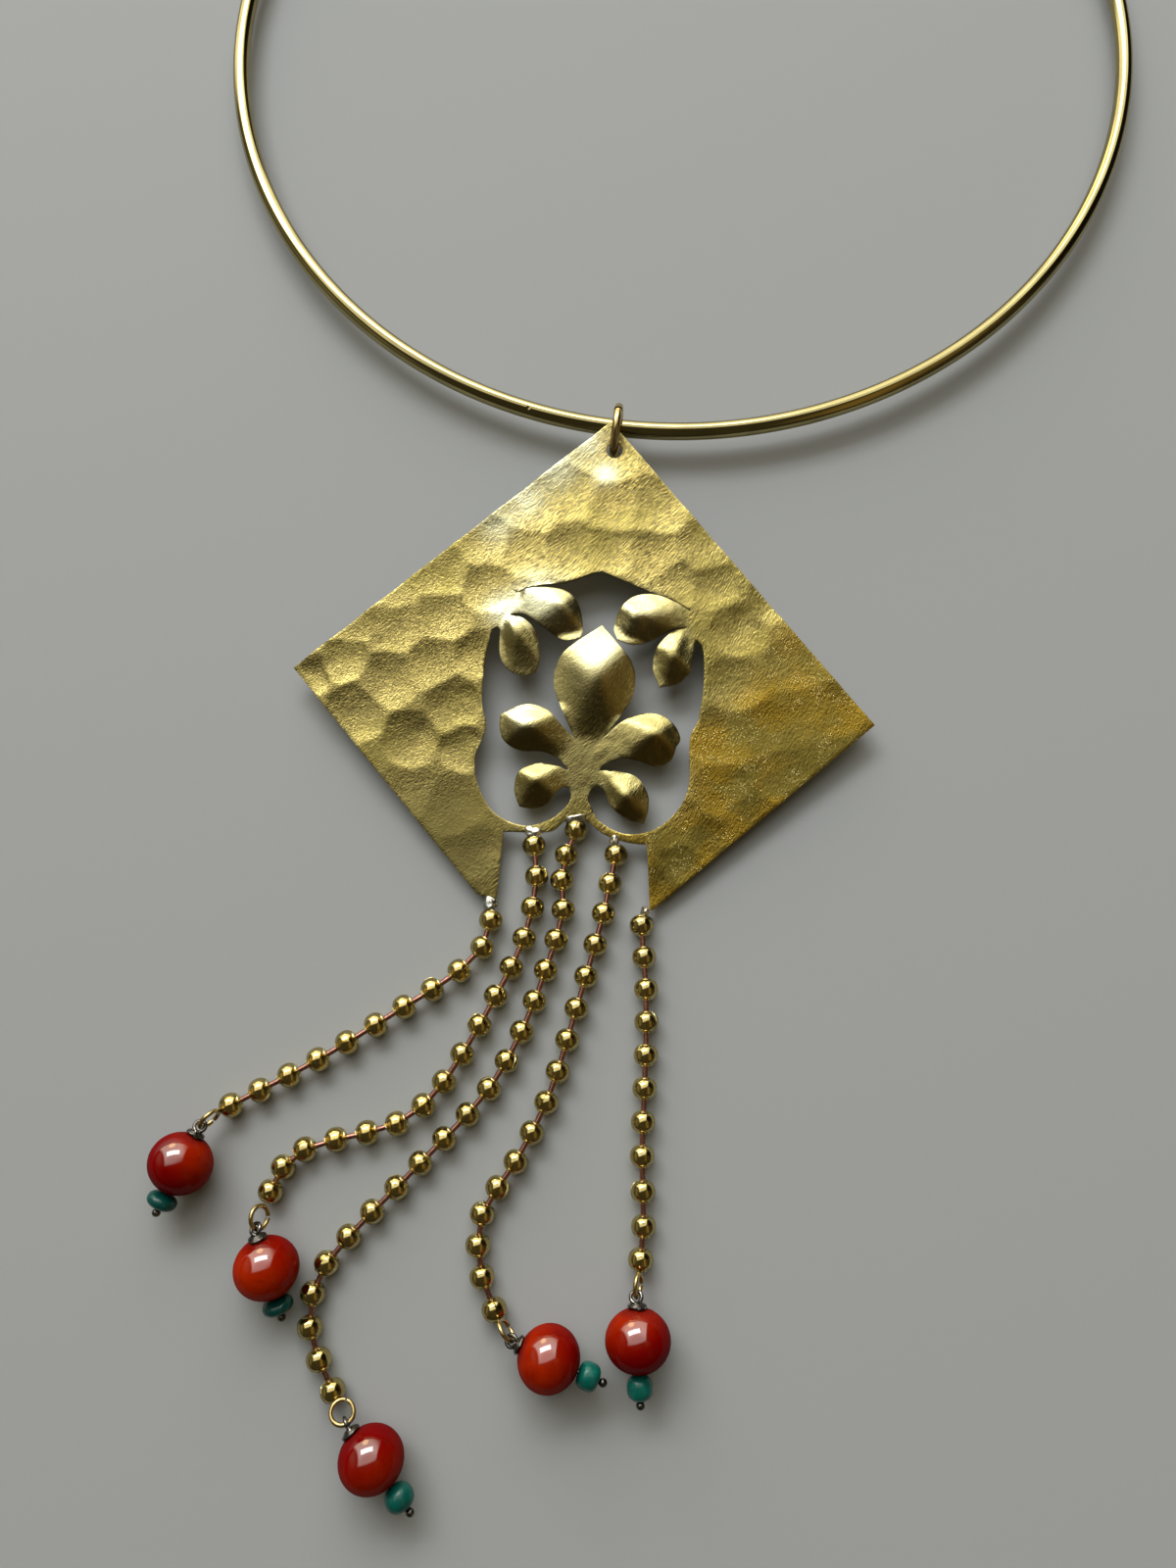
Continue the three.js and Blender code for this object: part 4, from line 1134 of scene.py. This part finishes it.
class CHOKER_OT_solder(bpy.types.Operator):
    """Solder the first ball of each chain to the plate"""

    bl_idname = "choker.solder"
    bl_label = "Solder"

    def execute(self, context):
        lumps, tarnish = Shape(), []
        for row in SOLDER:
            middle = Vector(row["at"])
            start = len(lumps.points)
            lumps.add_turned(round_profile(1.0, steps=16), sides=28, where=Matrix.Identity(4))
            for point in lumps.points[start:]:
                swell = 1 + 0.4 * noise.noise(point * 1.5 + middle)
                point[:] = [m + p * r * swell for m, p, r in zip(middle, point, row["radii"])]
                tarnish.append(row["tarnish"])
        lumps.kept["tarnish"] = tarnish
        lumps.piece("plate_solder", solder, "sheet_brass", ["pendant_plate"])

        size = millimetres(context).ball
        balls = Shape()
        for number, row in enumerate(CHAINS):
            spots, ways = chain_spots(row, size)
            add_ball(balls, spots[0], ways[0], size, roll=2.4 * number)
        balls.piece("plate_balls", gilt, "gilt", ["pendant_plate"])
        return {"FINISHED"}


class CHOKER_OT_chains(bpy.types.Operator):
    """String the hollow balls of each chain on their short pins"""

    bl_idname = "choker.chains"
    bl_label = "Ball Chains"

    def execute(self, context):
        sizes = millimetres(context)
        for number, row in enumerate(CHAINS, 1):
            spots, ways = chain_spots(row, sizes.ball)
            balls, pins = Shape(), Shape()
            for i in range(1, len(spots)):
                add_ball(balls, spots[i], ways[i], sizes.ball, roll=1.7 * i + number)
                pins.add_wire(smooth_line(spots[i - 1:i + 1], step=0.5), sizes.connector, sides=12)
            balls.piece(f"chain_{number}_balls", gilt, "gilt", [f"chain_{number}"])
            pins.piece(f"chain_{number}_pins", copper, "gilt", [f"chain_{number}"])
        return {"FINISHED"}


class CHOKER_OT_link_rings(bpy.types.Operator):
    """Hang a link ring between each chain and its drop"""

    bl_idname = "choker.link_rings"
    bl_label = "Link Rings"

    def execute(self, context):
        sizes = millimetres(context)
        for number, row, beads in drops(sizes):
            middle, axis, _ = link_frame(row, beads)
            path = loop(
                middle, axis, LINK_RADIUS, steps=72, first=axis.cross(UP), start=math.pi / 2,
                sweep=math.radians(355),
            )
            ring = Shape()
            ring.add_wire(path, sizes.link_wire, sides=14, up=axis)
            ring.piece(f"link_ring_{number}_wire", wire_brass, "wire_brass", [f"link_ring_{number}"])
        return {"FINISHED"}


class CHOKER_OT_head_pins(bpy.types.Operator):
    """Bend each head pin through its beads, round its eye and round its own neck"""

    bl_idname = "choker.head_pins"
    bl_label = "Head Pins"

    def execute(self, context):
        sizes = millimetres(context)
        wire, head = sizes.pin_wire, sizes.pin_head
        for number, row, beads in drops(sizes):
            _, _, eye_axis = link_frame(row, beads)
            eye_axis = (beads.to_3x3().inverted() @ eye_axis).normalized()
            foot = -(sizes.red_length / 2 + BEAD_GAP + row["green"][1] + head / 2)
            knob = beads @ Matrix.Translation((0, foot, 0))
            pin = Shape()
            pin.add_wire([beads @ point for point in head_pin_path(foot, wire, eye_axis)], wire, sides=10)
            pin.add_turned(round_profile(head / 2, steps=14), sides=24, where=knob)
            pin.piece(f"head_pin_{number}_wire", dark_wire, "dark_wire", [f"head_pin_{number}"])
        return {"FINISHED"}


class CHOKER_OT_red_beads(bpy.types.Operator):
    """Turn and bore the large red beads"""

    bl_idname = "choker.red_beads"
    bl_label = "Red Beads"

    def execute(self, context):
        sizes = millimetres(context)
        profile = bead_profile(sizes.red_bead, sizes.red_length, fullness=2.0, steps=44)
        best_polished = np.array((-0.08, 0.48, 0.873))
        for number, row, beads in drops(sizes):
            bead = Shape()
            bead.add_turned(profile, sides=72, where=beads)
            out = np.array([(point - beads.translation).normalized() for point in bead.points])
            ends = np.array([abs((beads.inverted() @ point).y) for point in bead.points])
            x, y, amount = row["glow"]
            # Painted shade towards both ends of the bore, on top of each bead's own darkness.
            dark = smoothstep(ends, 3.0, 3.7) * 0.8 + row["shade"] * 0.3
            bead.kept["glow"] = list(np.clip(amount + out @ np.array((x, y, 0.0)), 0, 1))
            bead.kept["polish"] = list(0.1 + 0.9 * smoothstep(out @ best_polished, 0.84, 0.955))
            bead.kept["shade"] = list(np.clip(dark, 0, 1))
            bead.piece(f"red_bead_{number}_stone", red_stone, "red_stone", [f"red_bead_{number}"])
        return {"FINISHED"}


class CHOKER_OT_green_beads(bpy.types.Operator):
    """Turn and bore the small green beads"""

    bl_idname = "choker.green_beads"
    bl_label = "Green Beads"

    def execute(self, context):
        sizes = millimetres(context)
        for number, row, beads in drops(sizes):
            diameter, span, fullness = row["green"]
            profile = bead_profile(diameter, span, fullness, steps=30)
            middle = -(sizes.red_length + span) / 2 - BEAD_GAP
            bead = Shape()
            bead.add_turned(profile, sides=48, where=beads @ Matrix.Translation((0, middle, 0)))
            for point in bead.points:
                point += (point - beads.translation).normalized() * 0.07 * noise.noise(point * 0.6)
            bead.kept["pale"] = [row["pale"]] * len(bead.points)
            bead.piece(f"green_bead_{number}_glass", green_stone, "green_stone", [f"green_bead_{number}"])
        return {"FINISHED"}


def sky(nodes):
    """A dim room: a bright opening beyond the neck ring, a warm wall to the right and a paler one to the
    left, a dark corner and skirting, and a small lamp."""
    way = nodes.add("ShaderNodeTexCoord", output="Generated")

    def part(axis):
        return nodes.add("ShaderNodeSeparateXYZ", inputs={0: way}, output=axis)

    def towards(spot, low, high):
        """A round patch of the sky: 0 where the way to it is low or less, 1 where it is high or more."""
        nearness = nodes.vectors("DOT_PRODUCT", {0: way, 1: Vector(spot).normalized()}, "Value")
        return nodes.band(nearness, low, high)

    def within(axis, low, high, soft):
        return nodes.band(axis, low - soft, low + soft) * nodes.band(axis, high + soft, high - soft)

    room, warm_wall, left_wall = (0.066, 0.057, 0.034), (0.33, 0.22, 0.07), (0.30, 0.27, 0.17)
    corner, skirting, lamp = (0.010, 0.009, 0.008), (0.04, 0.034, 0.024), (6.0, 4.7, 2.7)
    low_sky, bright_sky, high_sky = (2.4, 2.25, 1.8), (2.6, 2.55, 2.3), (1.5, 1.45, 1.3)
    aside, ahead, height = part("X"), part("Y"), part("Z")
    opening = nodes.band(aside + (1 - height) * 0.3, -0.58, -0.48) * nodes.band(aside, 0.48, 0.40)
    opening = opening * nodes.band(ahead - aside * 0.3, 0.06, 0.24) * nodes.band(height, 0.0, 0.08)
    wall = within(aside, 0.42, 0.70, 0.12) * within(ahead, -0.72, 0.22, 0.12)
    light = nodes.mix(wall, room, warm_wall)
    light = nodes.mix(nodes.band(aside, -0.66, -0.92), light, left_wall)
    light = nodes.mix(towards((0.82, 0.42, 0.45), 0.88, 0.96), light, corner)
    light = nodes.mix(nodes.band(height, 0.28, 0.12), light, skirting)
    outside = nodes.mix(nodes.band(height, 0.2, 0.6), low_sky, bright_sky)
    outside = nodes.mix(nodes.band(height, 0.6, 0.92), outside, high_sky)
    light = nodes.mix(opening, light, outside)
    light = nodes.mix(towards((-0.34, 0.92, 0.19), 0.984, 0.992), light, lamp)
    shine = nodes.add("ShaderNodeBackground", inputs={"Color": light, "Strength": 1.0})
    nodes.add("ShaderNodeOutputWorld", inputs={"Surface": shine})


class CHOKER_OT_stage(bpy.types.Operator):
    """Lay the pale floor and set up the soft light and the camera"""

    bl_idname = "choker.stage"
    bl_label = "Floor, Light and Camera"

    def execute(self, context):
        shift = packed_shift()
        scene = context.scene
        collection = scene.collection

        reach = 2.0
        corners = [(-reach, -reach, 0), (reach, -reach, 0), (reach, reach, 0), (-reach, reach, 0)]
        mesh = bpy.data.meshes.new("floor")
        mesh.from_pydata(corners, [], [(0, 1, 2, 3)])
        mesh.materials.append(material(plain_floor))
        floor = bpy.data.objects.new("floor", mesh)
        collection.objects.link(floor)

        scene.world = bpy.data.worlds.new("soft_room")
        scene.world.use_nodes = True
        sky(Nodes(scene.world.node_tree))

        lamp = bpy.data.lights.new("window", "AREA")
        lamp.shape = "RECTANGLE"
        lamp.size, lamp.size_y = 0.76, 0.30
        lamp.energy = 5.5
        lamp.color = (0.98, 0.99, 1.0)
        window = bpy.data.objects.new("window", lamp)
        way = Vector((-0.24, 0.71, 0.66)).normalized()
        window.location = WINDOW_AIM * MM + shift + way
        window.rotation_euler = way.to_track_quat("Z", "Y").to_euler()
        collection.objects.link(window)

        lens = bpy.data.cameras.new("camera")
        lens.sensor_width = 36
        lens.lens = CAMERA_LENS
        lens.clip_start = 0.005
        camera = bpy.data.objects.new("camera", lens)
        back = CAMERA_BACK.normalized()
        right = (CAMERA_RIGHT - back * CAMERA_RIGHT.dot(back)).normalized()
        camera.matrix_world = basis(right, back.cross(right), back, CAMERA_AT * MM + shift)
        collection.objects.link(camera)
        scene.camera = camera
        scene.view_settings.view_transform = "Standard"
        return {"FINISHED"}


OPERATORS = (
    CHOKER_OT_neck_ring,
    CHOKER_OT_jump_ring,
    CHOKER_OT_plate,
    CHOKER_OT_solder,
    CHOKER_OT_chains,
    CHOKER_OT_link_rings,
    CHOKER_OT_head_pins,
    CHOKER_OT_red_beads,
    CHOKER_OT_green_beads,
    CHOKER_OT_stage,
)


class CHOKER_PT_build(bpy.types.Panel):
    """Buttons that build the choker, and its sizes and colours"""

    bl_idname = "CHOKER_PT_build"
    bl_label = "Choker"
    bl_space_type = "VIEW_3D"
    bl_region_type = "UI"
    bl_category = "Choker"

    def draw(self, context):
        for operator in OPERATORS:
            self.layout.operator(operator.bl_idname)
        for settings in (context.scene.choker_sizes, context.scene.choker_colours):
            column = self.layout.column()
            for name in settings.__annotations__:
                column.prop(settings, name)


CLASSES = (ChokerSizes, ChokerColours, *OPERATORS, CHOKER_PT_build)


def register():
    for each in CLASSES:
        bpy.utils.register_class(each)
    bpy.types.Scene.choker_sizes = bpy.props.PointerProperty(type=ChokerSizes)
    bpy.types.Scene.choker_colours = bpy.props.PointerProperty(type=ChokerColours)


def unregister():
    del bpy.types.Scene.choker_colours
    del bpy.types.Scene.choker_sizes
    for each in reversed(CLASSES):
        bpy.utils.unregister_class(each)


def main():
    register()
    for operator in OPERATORS:
        group, name = operator.bl_idname.split(".")
        getattr(getattr(bpy.ops, group), name)()


if __name__ == "__main__":
    main()
